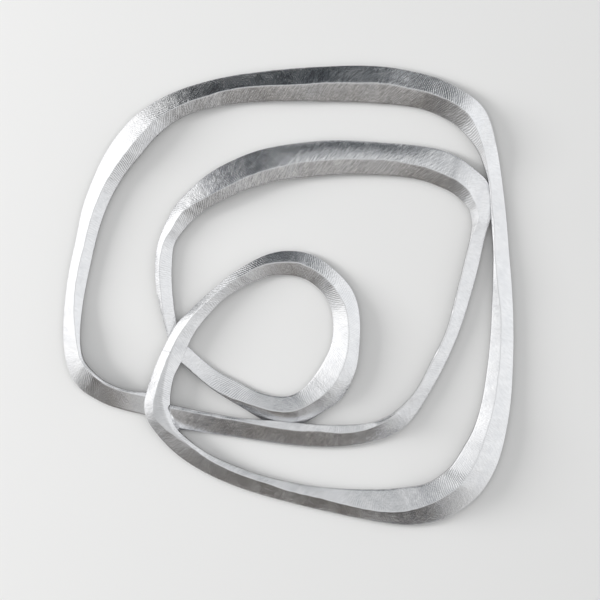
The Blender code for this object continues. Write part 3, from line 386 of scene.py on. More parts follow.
def section(run, x, groove_at=()):
    """The bar's section at the positions x: points in the world, and for each the distance across from the ridge."""
    x = np.asarray(x, float)
    left, right = run.edge_points(x)
    f1, f2 = eased(run.t, run.f1, x), eased(run.t, run.f2, x)
    wide = np.linalg.norm(right - left, axis=1) * UNIT
    el, er, h = run.heights(x, f1, f2, wide)
    if run.clip is not None:
        for i in range(len(x)):
            c = run.clip(x[i], left[i], right[i])
            if c > 0:
                el[i] = el[i] + (h[i] - el[i]) * min(c / f1[i], 0.9)
                left[i] = left[i] + (right[i] - left[i]) * c
                f1[i], f2[i] = max((f1[i] - c) / (1 - c), 0.02), max((f2[i] - c) / (1 - c), 0.04)
    s = run.base + x * UNIT
    wide = np.linalg.norm(right - left, axis=1) * UNIT
    # the ridge wanders a little, and is a soft land about a millimetre wide
    drift = wave(s, 3, 0.06) * 0.00045 + wave(s, 4, 0.021) * 0.00018
    mid, land = (f1 + f2) / 2, np.maximum((f2 - f1) / 2, 0.0006 / wide)
    mid = np.clip(mid + drift / wide, land + 0.01, 1 - land - 0.01)
    f1, f2 = mid - land, mid + land
    h = h + wave(s, 5, 0.11) * 0.00022

    lanes_f, lanes_h, kind = [], [], []

    def add(f, z, k):
        lanes_f.append(f + 0 * x)
        lanes_h.append(z + 0 * x)
        kind.append(k)

    c = BACK_CHAMFER / wide
    back = np.zeros_like(x)
    for at, reach in groove_at:
        back = np.maximum(back, np.clip(0.0037 - np.abs(x - at) * UNIT - reach, 0, None))
    low = np.maximum(BACK_CHAMFER, back + 0.0002)
    add(c, back, 0)
    add(0, low, 0)
    add(0, (low + el) / 2, 0)
    edge_r = 0.00035
    add(0, el - edge_r, 4)
    for k in range(LEFT_N + 1):
        q = k / LEFT_N
        crown = (0.035 * (1 + 0.5 * wave(s, 11, 0.16)) + run.extra_crown(x)) * q * (1 - q)
        ripple = (wave(s + 0.5 * f1 * wide * q, 21, 0.04) * 0.00005 + wave(s - 0.3 * f1 * wide * q, 22, 0.12) * 0.00012) * 4 * q * (1 - q)
        start = edge_r / np.maximum(wide, 1e-6)
        add(start + (f1 - start) * q, el + (h - el) * (q + crown) + ripple, 1)
    for k in range(1, RIDGE_N):
        q = k / RIDGE_N
        add(f1 + (f2 - f1) * q, h + 0.00016 * 4 * q * (1 - q), 2)
    for k in range(RIGHT_N + 1):
        q = 1 - k / RIGHT_N
        crown = 0.035 * (1 + 0.5 * wave(s, 12, 0.15)) * q * (1 - q)
        ripple = (wave(s + 0.5 * (1 - f2) * wide * q, 31, 0.038) * 0.00005 + wave(s - 0.3 * (1 - f2) * wide * q, 32, 0.11) * 0.00012) * 4 * q * (1 - q)
        start = edge_r / np.maximum(wide, 1e-6)
        add(1 - start - (1 - f2 - start) * q, er + (h - er) * (q + crown) + ripple, 3)
    add(1, er - edge_r, 4)
    add(1, (low + er) / 2, 0)
    add(1, low, 0)
    add(1 - c, back, 0)
    for q in (0.75, 0.5, 0.25):
        add(c + (1 - 2 * c) * q, back, 0)
    f = np.stack(lanes_f, 1)
    z = np.stack(lanes_h, 1)
    p = left[:, None, :] + (right - left)[:, None, :] * f[..., None]
    across = (f - mid[:, None]) * wide[:, None]
    # folds the way across the flanks out flat, so that patterns keep their scale there
    flank = np.array([0, -1, -1, -1] + [0] * (LEFT_N + 1 + RIDGE_N - 1 + RIGHT_N + 1) + [1, 1, 1, 0, 0, 0, 0])
    across = across + flank[None, :] * z
    return world(p, z), across, s, np.array(kind)


def mesh_object(name, rings, uv, materials, kind=None):
    """A closed loft through rings, with a uv pair per ring point, capped at both ends. Lanes of kind 0 are unground."""
    n, m = rings.shape[:2]
    co = rings.reshape(-1, 3)
    i = np.arange(n - 1)[:, None] * m
    j = np.arange(m)[None, :]
    k = (np.arange(m)[None, :] + 1) % m
    quads = np.stack([i + j, i + k, i + m + k, i + m + j], -1).reshape(-1, 4)
    faces = quads.tolist() + [list(range(m))[::-1], list(range((n - 1) * m, n * m))]
    mesh = bpy.data.meshes.new(name)
    mesh.from_pydata(co.tolist(), [], faces)
    layer = mesh.uv_layers.new(name="UVMap")
    loops = np.empty(len(mesh.loops), np.int32)
    mesh.loops.foreach_get("vertex_index", loops)
    layer.data.foreach_set("uv", uv.reshape(-1, 2)[loops].astype(np.float32).ravel())
    for m_ in materials:
        mesh.materials.append(m_)
    if kind is not None:
        rough_lane = (kind == 0) & (np.roll(kind, -1) == 0)
        index = np.concatenate([np.tile(rough_lane.astype(np.int32), n - 1), [1, 1]]).astype(np.int32)
        mesh.polygons.foreach_set("material_index", index)
    bm = bmesh.new()
    bm.from_mesh(mesh)
    if bm.calc_volume(signed=True) < 0:
        bmesh.ops.reverse_faces(bm, faces=bm.faces)
    bm.to_mesh(mesh)
    bm.free()
    mesh.shade_smooth()
    obj = bpy.data.objects.new(name, mesh)
    bpy.context.scene.collection.objects.link(obj)
    return obj


def stretch(line, side, lanes, name):
    """A cutter swept along a layout line, from lanes of (distance off the line in units, height in metres)."""
    n = normals(line, side)
    rings = np.stack([world(line + n * a, b) for a, b in lanes], 1)
    return mesh_object(name, rings, np.zeros(rings.shape[:2] + (2,)), [METAL, CAST], np.zeros(len(lanes)))


def carve(obj, tool):
    m = obj.modifiers.new("carve", "BOOLEAN")
    m.operation, m.solver, m.object = "DIFFERENCE", "EXACT", tool
    dg = bpy.context.evaluated_depsgraph_get()
    done = bpy.data.meshes.new_from_object(obj.evaluated_get(dg), preserve_all_data_layers=True, depsgraph=dg)
    obj.modifiers.clear()
    old, obj.data = obj.data, done
    bpy.data.meshes.remove(old)


def close_slits(obj):
    """Fills any sliver that a cut left open, and turns every face outwards."""
    bm = bmesh.new()
    bm.from_mesh(obj.data)
    open_edges = [e for e in bm.edges if e.is_boundary]
    if open_edges:
        bmesh.ops.holes_fill(bm, edges=open_edges, sides=0)
        bmesh.ops.recalc_face_normals(bm, faces=bm.faces)
        bm.to_mesh(obj.data)
    bm.free()


# ---- node helpers ------------------------------------------------------------------------------------------------
class Nodes:
    def __init__(self, tree):
        self.t = tree

    def new(self, kind, **props):
        n = self.t.nodes.new(kind)
        for k, v in props.items():
            setattr(n, k, v)
        return n

    def link(self, a, b):
        self.t.links.new(a, b)

    def put(self, socket, value):
        if isinstance(value, bpy.types.NodeSocket):
            self.link(value, socket)
        else:
            socket.default_value = value

    def math(self, op, a, b=0.0, c=0.0, clamp=False):
        n = self.new("ShaderNodeMath", operation=op, use_clamp=clamp)
        self.put(n.inputs[0], a)
        self.put(n.inputs[1], b)
        self.put(n.inputs[2], c)
        return n.outputs[0]

    def ramp(self, fac, stops, interpolation="LINEAR"):
        n = self.new("ShaderNodeValToRGB")
        n.color_ramp.interpolation = interpolation
        e = n.color_ramp.elements
        while len(e) > 1:
            e.remove(e[-1])
        e[0].position, e[0].color = stops[0][0], (*stops[0][1], 1.0)
        for at, colour in stops[1:]:
            x = e.new(at)
            x.color = (*colour, 1.0)
        self.put(n.inputs[0], fac)
        return n.outputs[0]

    def noise(self, vector, scale, detail=2.0, rough=0.5):
        n = self.new("ShaderNodeTexNoise")
        self.put(n.inputs["Vector"], vector)
        n.inputs["Scale"].default_value = scale
        n.inputs["Detail"].default_value = detail
        n.inputs["Roughness"].default_value = rough
        return n.outputs["Fac"]

    def mix(self, fac, a, b, blend="MIX"):
        n = self.new("ShaderNodeMix", data_type="RGBA", blend_type=blend)
        self.put(n.inputs[0], fac)
        self.put(n.inputs[6], a if isinstance(a, bpy.types.NodeSocket) else (*a, 1.0))
        self.put(n.inputs[7], b if isinstance(b, bpy.types.NodeSocket) else (*b, 1.0))
        return n.outputs[2]

    def remap(self, v, a, b, c, d):
        n = self.new("ShaderNodeMapRange")
        for i, x in enumerate((v, a, b, c, d)):
            self.put(n.inputs[i], x)
        return n.outputs[0]


def material(name):
    m = bpy.data.materials.new(name)
    m.use_nodes = True
    t = Nodes(m.node_tree)
    return m, t, m.node_tree.nodes["Principled BSDF"]


def ground_aluminium():
    """Cast aluminium ground by hand: slanting chatter marks across each facet, fine scratches, satin patches."""
    m, t, bsdf = material("ground_aluminium")
    uv = t.new("ShaderNodeUVMap", uv_map="UVMap")
    sep = t.new("ShaderNodeSeparateXYZ")
    t.link(uv.outputs[0], sep.inputs[0])
    s, c = sep.outputs[0], sep.outputs[1]
    plane = uv.outputs[0]

    def scaled(sx, sy):
        v = t.new("ShaderNodeVectorMath", operation="MULTIPLY")
        t.link(plane, v.inputs[0])
        v.inputs[1].default_value = (sx, sy, 1.0)
        return v.outputs[0]

    # chatter: a ripple about 3 mm long whose crests bow across each facet
    drift = t.math("MULTIPLY", t.math("SUBTRACT", t.noise(plane, 60.0, 2.0), 0.5), 0.004)
    away = t.math("ABSOLUTE", c)
    lean = t.remap(t.noise(scaled(6.0, 0.0), 1.0, 0.0), 0.3, 0.7, 0.05, 0.75)
    arc = t.math("MULTIPLY", away, lean)
    bow = t.math("MULTIPLY", t.math("MULTIPLY", c, c), 10.0)
    track = t.math("ADD", t.math("ADD", s, arc), t.math("ADD", bow, drift))
    chatter = t.math("SINE", t.math("MULTIPLY", track, 2 * math.pi / CHATTER))
    left = t.remap(c, -0.0006, 0.0006, 1.0, 0.0)
    sides = {0: left, 1: t.math("SUBTRACT", 1.0, left)}

    def zone(run, start, stop, side, strength, fade=0.03):
        """A stretch of one facet, from the point nearest start to the point nearest stop, with soft ends."""
        x0, x1 = (run.base + run.nearest(p) * UNIT for p in (start, stop))
        inside = t.math("MULTIPLY", t.remap(s, x0 - fade, x0 + fade, 0.0, strength), t.remap(s, x1 - fade, x1 + fade, 1.0, 0.0))
        return t.math("MULTIPLY", inside, sides[side])

    patch = t.remap(t.noise(plane, 17.0, 3.0, 0.6), 0.45, 0.68, 0.05, 0.8)
    for place in MARKED:
        patch = t.math("MAXIMUM", patch, zone(*place))
    near_ridge = t.remap(away, 0.0, 0.024, 1.0, 0.55)
    patch = t.math("MULTIPLY", patch, near_ridge)
    # scratches across the bar, about a millimetre wide and some millimetres long
    scratch = t.noise(scaled(1100.0, 170.0), 1.0, 2.0, 0.6)
    coarse = t.noise(scaled(480.0, 150.0), 1.0, 2.0, 0.55)
    # a hammered grain in patches, and long shallow facets left by the grinder's passes
    grain = t.noise(plane, 330.0, 3.0, 0.65)
    passes = t.noise(scaled(60.0, 40.0), 1.0, 1.0, 0.5)
    mottle = t.remap(t.noise(plane, 45.0, 3.0, 0.6), 0.35, 0.65, 0.00012, 0.00040)
    h1 = t.math("MULTIPLY", t.math("MULTIPLY", chatter, patch), 0.000105)
    h2 = t.math("MULTIPLY", t.math("SUBTRACT", scratch, 0.5), 0.00014)
    h3 = t.math("MULTIPLY", t.math("SUBTRACT", coarse, 0.5), 0.00025)
    h4 = t.math("MULTIPLY", t.math("SUBTRACT", passes, 0.5), 0.00005)
    h5 = t.math("MULTIPLY", t.math("SUBTRACT", grain, 0.5), mottle)
    height = t.math("ADD", t.math("ADD", t.math("ADD", h1, h2), t.math("ADD", h3, h4)), h5)
    bump = t.new("ShaderNodeBump")
    bump.inputs["Strength"].default_value = 1.0
    bump.inputs["Distance"].default_value = 1.0
    t.link(height, bump.inputs["Height"])
    t.link(bump.outputs[0], bsdf.inputs["Normal"])
    # troughs of the chatter hold a little grey dust, and the tone drifts in satin patches
    tone = t.remap(t.noise(plane, 55.0, 4.0, 0.65), 0.3, 0.7, 0.0, 1.0)
    colour = t.mix(tone, (0.865, 0.87, 0.885), (0.945, 0.945, 0.95))
    trough = t.math("MULTIPLY", t.remap(chatter, -1.0, 0.5, 1.0, 0.0), t.math("MULTIPLY", patch, 0.42))
    colour = t.mix(trough, colour, (0.52, 0.53, 0.55))
    # darker mottles painted into the colour over the listed stretches: partly the dark cast surface left where the
    # grinder passed lightly, partly painted shade for facets that reflect dark surroundings
    skin_and_shade_mottle = t.remap(t.noise(plane, 90.0, 5.0, 0.7), 0.40, 0.62, 0.35, 1.0)
    total = None
    for place in SKIN_AND_PAINTED_SHADE:
        z = zone(*place)
        total = z if total is None else t.math("MAXIMUM", total, z)
    # painted shade: the listed stretches are mixed towards dark grey here, together with the real darker cast surface
    colour = t.mix(t.math("MULTIPLY", skin_and_shade_mottle, total), colour, (0.30, 0.31, 0.34))
    # slanting streaks a couple of millimetres wide, strongest where the disc only brushed the casting
    slant = t.new("ShaderNodeCombineXYZ")
    t.link(t.math("MULTIPLY", t.math("ADD", s, t.math("MULTIPLY", c, 0.8)), 520.0), slant.inputs[0])
    t.link(t.math("MULTIPLY", c, 95.0), slant.inputs[1])
    fleck = t.remap(t.noise(slant.outputs[0], 1.0, 2.0, 0.6), 0.34, 0.66, -1.0, 0.8)
    brushed = 0.05
    for place in BRUSHED:
        brushed = t.math("MAXIMUM", brushed, zone(*place))
    shade = t.math("ADD", 1.0, t.math("MULTIPLY", fleck, brushed))
    colour = t.mix(1.0, colour, shade, "MULTIPLY")
    specks = t.remap(t.noise(plane, 520.0, 3.0, 0.7), 0.58, 0.72, 0.0, 0.35)
    colour = t.mix(specks, colour, (0.70, 0.70, 0.71))
    t.link(colour, bsdf.inputs["Base Color"])
    rough = t.remap(t.noise(plane, 36.0, 3.0), 0.3, 0.7, 0.15, 0.23)
    t.link(rough, bsdf.inputs["Roughness"])
    bsdf.inputs["Metallic"].default_value = 1.0
    return m


def cast_skin():
    """Unground aluminium on the flanks and the back: dull, dark with oxide, pitted like sand."""
    m, t, bsdf = material("cast_skin")
    pos = t.new("ShaderNodeTexCoord").outputs["Object"]
    cloud = t.remap(t.noise(pos, 38.0, 5.0, 0.6), 0.3, 0.7, 0.0, 1.0)
    colour = t.mix(cloud, (0.16, 0.16, 0.165), (0.34, 0.34, 0.345))
    rub = t.remap(t.noise(pos, 9.0, 3.0, 0.6), 0.52, 0.66, 0.0, 0.7)
    colour = t.mix(rub, colour, (0.50, 0.50, 0.505))
    # the back was sawn flat and is brighter than the flanks
    facing = t.new("ShaderNodeSeparateXYZ")
    t.link(t.new("ShaderNodeNewGeometry").outputs["Normal"], facing.inputs[0])
    colour = t.mix(t.remap(facing.outputs[1], 0.5, 0.9, 0.0, 0.6), colour, (0.66, 0.66, 0.67))
    t.link(colour, bsdf.inputs["Base Color"])
    sand = t.noise(pos, 1500.0, 3.0, 0.65)
    lumps = t.noise(pos, 210.0, 3.0, 0.55)
    pits = t.remap(t.noise(pos, 620.0, 2.0, 0.5), 0.30, 0.40, -1.0, 0.0)
    height = t.math("ADD", t.math("MULTIPLY", sand, 0.00016), t.math("ADD", t.math("MULTIPLY", lumps, 0.0006), t.math("MULTIPLY", pits, 0.00018)))
    bump = t.new("ShaderNodeBump")
    bump.inputs["Strength"].default_value = 1.0
    bump.inputs["Distance"].default_value = 1.0
    t.link(height, bump.inputs["Height"])
    t.link(bump.outputs[0], bsdf.inputs["Normal"])
    t.link(t.remap(cloud, 0.0, 1.0, 0.62, 0.42), bsdf.inputs["Roughness"])
    bsdf.inputs["Metallic"].default_value = 0.9
    return m


CHATTER = 0.0034  # length of one chatter ripple along the bar, in metres
outer = Run(OUTER_RUN, 0.0)
middle = Run(MIDDLE_RUN, 4.0)
# stretches of facet (run, from, to, 0 left or 1 right, how strongly) where the grinder chattered
MARKED = [
    (outer, (105, 180), (205, 100), 1, 0.9),
    (outer, (150, 118), (185, 100), 0, 0.8),
    (outer, (225, 90), (305, 85), 0, 0.55),
    (outer, (385, 86), (462, 108), 0, 1.0),
    (outer, (456, 116), (484, 160), 1, 0.8),
    (outer, (470, 468), (420, 500), 1, 1.0),
    (outer, (181, 448), (167, 425), 1, 0.7),
    (outer, (160, 410), (178, 360), 1, 0.8),
    (outer, (205, 303), (262, 265), 0, 0.7),
    (outer, (345, 285), (346, 345), 0, 0.6),
    (outer, (320, 288), (330, 312), 1, 0.8),
    (outer, (254, 403), (212, 376), 1, 0.8),
    (middle, (176, 222), (240, 178), 1, 1.0),
    (middle, (240, 175), (330, 158), 0, 0.6),
    (middle, (385, 160), (440, 170), 0, 0.9),
    (middle, (452, 178), (474, 212), 1, 0.7),
]
# stretches painted darker in mottles: partly dark cast surface left unground, partly painted shade for facets that
# reflect dark surroundings; the last two are a faint seam line and a dressed patch at a butt
SKIN_AND_PAINTED_SHADE = [
    (middle, (203, 190), (268, 166), 0, 0.75, 0.008),
    (outer, (192, 98), (262, 88), 0, 0.50),
    (outer, (262, 88), (330, 84), 0, 0.28),
    (outer, (432, 98), (452, 108), 1, 0.30, 0.015),
    (outer, (78, 372), (92, 388), 0, 0.22, 0.02),
    (outer, (160, 418), (160, 385), 0, 0.20, 0.02),
    (outer, (160, 418), (160, 385), 1, 0.12, 0.02),
    (outer, (445, 490), (405, 492), 1, 0.32, 0.02),
    (outer, (430, 505), (375, 505), 0, 0.72),
    (middle, (244, 427), (178, 418), 0, 0.50, 0.02),
    (outer, (173.2, 353.4), (173.6, 351.9), 0, 0.40, 0.0012),
    (outer, (174.4, 349.5), (177.6, 342.0), 1, 0.25, 0.006),
]
# stretches the disc only brushed, which stay streaked
BRUSHED = [
    (outer, (168, 108), (452, 100), 0, 0.38),
    (outer, (150, 135), (462, 122), 1, 0.22),
    (middle, (196, 198), (446, 170), 0, 0.28),
    (middle, (182, 222), (456, 186), 1, 0.22),
    (middle, (352, 436), (178, 418), 0, 0.16),
    (outer, (430, 505), (196, 452), 0, 0.13),
]
METAL = ground_aluminium()
CAST = cast_skin()

right_x, under_x = outer.nearest((497.0, 203.0)), middle.nearest((290.0, 433.0))
loop_x, corner_x = outer.nearest((284.0, 410.0)), middle.nearest((481.0, 206.0))
right_line = edge_line(outer, 1, right_x - 70, right_x + 70)
under_line = edge_line(middle, 1, under_x - 90, under_x + 90)
TOUCH = 0.0001 / UNIT
middle.clip = clip_to(right_line, 1, TOUCH, corner_x - 60, corner_x + 60)
outer.clip = clip_to(under_line, 1, TOUCH, loop_x - 70, loop_x + 70)
tip_x, rise_x = outer.nearest((157.5, 402.0)), outer.nearest((177.7, 343.0))
LINES = {
    "tip_left": (edge_line(outer, 0, tip_x - 32, tip_x + 26, 1.0), -1),
    "tip_right": (edge_line(outer, 1, tip_x - 52, tip_x + 26, 1.0), 1),
    "rise_left": (edge_line(outer, 0, rise_x - 26, rise_x + 34, 1.0), -1),
    "rise_right": (edge_line(outer, 1, rise_x - 35, rise_x + 28, 1.0), 1),
}
COPES = {}
for name, (line, side) in LINES.items():
    g, w = 0.0001 / UNIT, GROOVE / UNIT
    COPES[name] = stretch(line, side, [(-13.0, -0.004), (g + w * 2, -GROOVE), (g, GROOVE), (g, 0.05), (-13.0, 0.05)], "cope_" + name)


BARS = {}


def bar(node, run, x0, x1, start, end):
    step, past = 0.9, 9.0
    n = max(int((x1 - x0) / step), 4)
    x = np.linspace(x0, x1, n + 1)
    g = GROOVE / UNIT
    marks = []
    if start is None:
        marks.append((x0, 0.0))
        x = np.union1d(x, [x0 + 0.0037 / UNIT])
    if end is None:
        marks.append((x1, 0.0))
        x = np.union1d(x, [x1 - 0.0037 / UNIT])
    rings, across, s, kind = section(run, x, marks)
    if start is not None:
        h = run.heading(1.0)[0]
        first = rings[0] - np.array([h[0] * past * UNIT, 0, -h[1] * past * UNIT])
        rings, across, s = np.concatenate([first[None], rings]), np.concatenate([across[:1], across]), np.concatenate([[s[0] - past * UNIT], s])
    if end is not None:
        h = run.heading(run.length() - 1.0)[0]
        last = rings[-1] + np.array([h[0] * past * UNIT, 0, -h[1] * past * UNIT])
        rings, across, s = np.concatenate([rings, last[None]]), np.concatenate([across, across[-1:]]), np.concatenate([s, [s[-1] + past * UNIT]])
    uv = np.stack([np.broadcast_to(s[:, None], across.shape), across], -1)
    obj = mesh_object(node + "_ground", rings, uv, [METAL, CAST], kind)
    for tool in (start, end):
        if tool is not None:
            carve(obj, COPES[tool])
    close_slits(obj)
    obj.data.shade_smooth()
    obj.data.set_sharp_from_angle(angle=math.radians(32))
    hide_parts(node)
    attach(obj, "root")
    BARS[node] = obj
    return obj


half = 0.00004 / UNIT
for run, lengths, butts, ends in (
    (outer, OUTER_LENGTHS, OUTER_BUTTS, ("tip_left", "rise_right")),
    (middle, MIDDLE_LENGTHS, MIDDLE_BUTTS, ("rise_left", "tip_right")),
):
    stops = [0.0] + [run.nearest(p) for p in butts.values()] + [run.length()]
    for i, node in enumerate(lengths):
        first, last = i == 0, i == len(lengths) - 1
        bar(node, run, stops[i] + (0 if first else half), stops[i + 1] - (0 if last else half), ends[0] if first else None, ends[1] if last else None)
for tool in COPES.values():
    bpy.data.objects.remove(tool)

# ---- dressed fillet on the front, where the middle loop's end meets the tip ------------------------------------------
def lies_at(run, q):
    """Height of a run's front under the sheet point q."""
    xs = np.arange(0.0, run.length() + 0.01, 0.5)
    left, right = run.edge_points(xs)
    d = right - left
    wide = np.linalg.norm(d, axis=1)
    f = ((q - left) * d).sum(1) / wide**2
    off = np.linalg.norm(left + d * np.clip(f, 0, 1)[:, None] - q, axis=1)
    k = int(np.argmin(off))
    x = xs[k : k + 1]
    f1, f2 = eased(run.t, run.f1, x), eased(run.t, run.f2, x)
    el, er, h = (float(v[0]) for v in run.heights(x, f1, f2, wide[k : k + 1] * UNIT))
    g, a, b = float(np.clip(f[k], 0, 1)), float(f1[0]), float(f2[0])
    return el + (h - el) * g / a if g < a else er + (h - er) * (1 - g) / (1 - b) if g > b else h


def fillet(name, run, other, side, start, stop, reach, steps=36):
    a, b = run.nearest(start), run.nearest(stop)
    line = edge_line(run, side, min(a, b), max(a, b), abs(b - a) / steps)
    n = normals(line, 1 if side else -1)
    rings, uv = [], []
    for k, p in enumerate(line):
        u = k / (len(line) - 1)
        w = 0.35 + reach * math.sin(math.pi * min(max(u, 0.0), 1.0)) ** 0.6
        near, far = p - n[k] * 0.8, p + n[k] * w
        z0, z1 = lies_at(run, near) - 0.00012, lies_at(other, far) - 0.00012
        lanes = [(near, z0 - 0.0025)]
        for j in range(7):
            t = j / 6
            lanes.append((near + (far - near) * t, z0 + (z1 - z0) * t - 0.0004 * 4 * t * (1 - t) + 0.0003 * math.sin(math.pi * t)))
        lanes.append((far, z1 - 0.0025))
        pts = np.array([q for q, _ in lanes])
        rings.append(world(pts, np.array([z for _, z in lanes])))
        uv.append([(1.0 + k * 0.0012, 0.012 + 0.0008 * j) for j in range(len(lanes))])
    obj = mesh_object(name, np.stack(rings), np.array(uv), [METAL, CAST], np.full(len(lanes), 1))
    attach(obj, "root")
    return obj


fillet("tip_right_fillet", outer, middle, 1, (171.5, 436.5), (159.5, 409.0), 1.7)

# ---- pockets for the hangers, let into the back of the top length -------------------------------------------------
def rounded_tool(name, wide, high, r, cx, cz, y0, y1):
    """A rounded block through the back, reaching from y0 to y1."""
    edge = []
    for k, (sx, sz) in enumerate(((1, 1), (-1, 1), (-1, -1), (1, -1))):
        for i in range(9):
            a = math.radians(90 * k + 90 * i / 8)
            edge.append((cx + sx * (wide / 2 - r) + r * math.cos(a), cz + sz * (high / 2 - r) + r * math.sin(a)))
    edge = np.array(edge)
    rings = np.stack([np.column_stack([edge[:, 0], np.full(len(edge), y), edge[:, 1]]) for y in (y0, y1)])
    return mesh_object(name, rings, np.zeros(rings.shape[:2] + (2,)), [METAL, CAST], np.zeros(len(edge)))


def world_points(obj):
    co = np.empty(len(obj.data.vertices) * 3)
    obj.data.vertices.foreach_get("co", co)
    m = np.array(obj.matrix_world)
    return co.reshape(-1, 3) @ m[:3, :3].T + m[:3, 3]


for side in ("left", "right"):
    p = world_points(frame["nodes"]["hanger_plate_" + side])
    lo, hi = p.min(0), p.max(0)
    cx, cz = (lo[0] + hi[0]) / 2, (lo[2] + hi[2]) / 2
    recess = rounded_tool("recess_" + side, hi[0] - lo[0] + 0.0006, hi[2] - lo[2] + 0.0006, 0.0043, cx, cz, lo[1] - 0.0003, 0.02)
    pocket = rounded_tool("pocket_" + side, 0.0130, 0.0195, 0.005, cx, cz, -PAD_T - 0.0095, 0.0)
    for tool in (recess, pocket):
        carve(BARS["top_bar"], tool)
        bpy.data.objects.remove(tool)
BARS["top_bar"].data.set_sharp_from_angle(angle=math.radians(32))


# ---- welds and hardware ------------------------------------------------------------------------------------------
def object_coordinates(t):
    return t.new("ShaderNodeTexCoord").outputs["Object"]


def finish(t, bsdf, height, colour, rough, metallic):
    bump = t.new("ShaderNodeBump")
    bump.inputs["Strength"].default_value = 1.0
    bump.inputs["Distance"].default_value = 1.0
    t.link(height, bump.inputs["Height"])
    t.link(bump.outputs[0], bsdf.inputs["Normal"])
    t.put(bsdf.inputs["Base Color"], colour)
    t.put(bsdf.inputs["Roughness"], rough)
    bsdf.inputs["Metallic"].default_value = metallic


def weld_aluminium():
    """A bright bead with a matt frosted skin and grey soot in patches."""
    m, t, bsdf = material("weld_aluminium")
    pos = object_coordinates(t)
    frost = t.noise(pos, 1400.0, 3.0, 0.6)
    soot = t.remap(t.noise(pos, 130.0, 4.0, 0.6), 0.50, 0.70, 0.0, 0.75)
    colour = t.mix(soot, (0.80, 0.80, 0.81), (0.24, 0.24, 0.25))
    height = t.math("ADD", t.math("MULTIPLY", frost, 0.00010), t.math("MULTIPLY", t.noise(pos, 320.0, 2.0, 0.5), 0.00018))
    finish(t, bsdf, height, colour, t.remap(soot, 0.0, 0.75, 0.26, 0.55), 1.0)
    return m


def zinc_plate():
    """Zinc plated steel: spangle, a faint yellow passivation and handling scratches."""
    m, t, bsdf = material("zinc_plate")
    pos = object_coordinates(t)
    cells = t.new("ShaderNodeTexVoronoi")
    t.link(pos, cells.inputs["Vector"])
    cells.inputs["Scale"].default_value = 420.0
    spangle = t.remap(cells.outputs["Distance"], 0.0, 0.7, 0.0, 1.0)
    sweep = t.new("ShaderNodeVectorMath", operation="MULTIPLY")
    t.link(pos, sweep.inputs[0])
    sweep.inputs[1].default_value = (140.0, 140.0, 1900.0)
    scratch = t.noise(sweep.outputs[0], 1.0, 2.0, 0.6)
    colour = t.mix(spangle, (0.66, 0.68, 0.72), (0.52, 0.55, 0.60))
    colour = t.mix(t.remap(t.noise(pos, 90.0, 2.0), 0.45, 0.65, 0.0, 0.5), colour, (0.70, 0.66, 0.50))
    height = t.math("ADD", t.math("MULTIPLY", scratch, 0.00004), t.math("MULTIPLY", spangle, 0.00002))
    finish(t, bsdf, height, colour, t.remap(scratch, 0.3, 0.7, 0.24, 0.42), 1.0)
    return m


def screw_steel():
    """Bright drawn steel with a slightly stained head."""
    m, t, bsdf = material("screw_steel")
    pos = object_coordinates(t)
    stain = t.remap(t.noise(pos, 900.0, 4.0, 0.6), 0.45, 0.65, 0.0, 1.0)
    fine = t.noise(pos, 4200.0, 2.0, 0.5)
    finish(t, bsdf, t.math("MULTIPLY", fine, 0.00003), t.mix(stain, (0.58, 0.58, 0.60), (0.33, 0.32, 0.31)), t.remap(stain, 0.0, 1.0, 0.22, 0.42), 1.0)
    return m


def felt():
    """Pressed wool felt: matted fibres, light and dark hairs, a soft uneven face."""
    m, t, bsdf = material("felt")
    pos = object_coordinates(t)
    bent = t.new("ShaderNodeVectorMath", operation="ADD")
    t.link(pos, bent.inputs[0])
    wander = t.new("ShaderNodeTexNoise")
    t.link(pos, wander.inputs["Vector"])
    wander.inputs["Scale"].default_value = 300.0
    shrink = t.new("ShaderNodeVectorMath", operation="MULTIPLY")
    t.link(wander.outputs["Color"], shrink.inputs[0])
    shrink.inputs[1].default_value = (0.0016, 0.0016, 0.0016)
    t.link(shrink.outputs[0], bent.inputs[1])
    strands = []
    for scale in ((2600.0, 500.0, 500.0), (500.0, 500.0, 2600.0)):
        v = t.new("ShaderNodeVectorMath", operation="MULTIPLY")
        t.link(bent.outputs[0], v.inputs[0])
        v.inputs[1].default_value = scale
        strands.append(t.noise(v.outputs[0], 1.0, 3.0, 0.65))
    fibre = t.math("MAXIMUM", strands[0], strands[1])
    hair = t.remap(fibre, 0.45, 0.72, 0.0, 1.0)
    colour = t.mix(hair, (0.13, 0.13, 0.135), (0.34, 0.335, 0.33))
    finish(t, bsdf, t.math("MULTIPLY", fibre, 0.0006), colour, 0.95, 0.0)
    bsdf.inputs["Sheen Weight"].default_value = 0.35
    return m


WELD, ZINC, STEEL, FELT = weld_aluminium(), zinc_plate(), screw_steel(), felt()


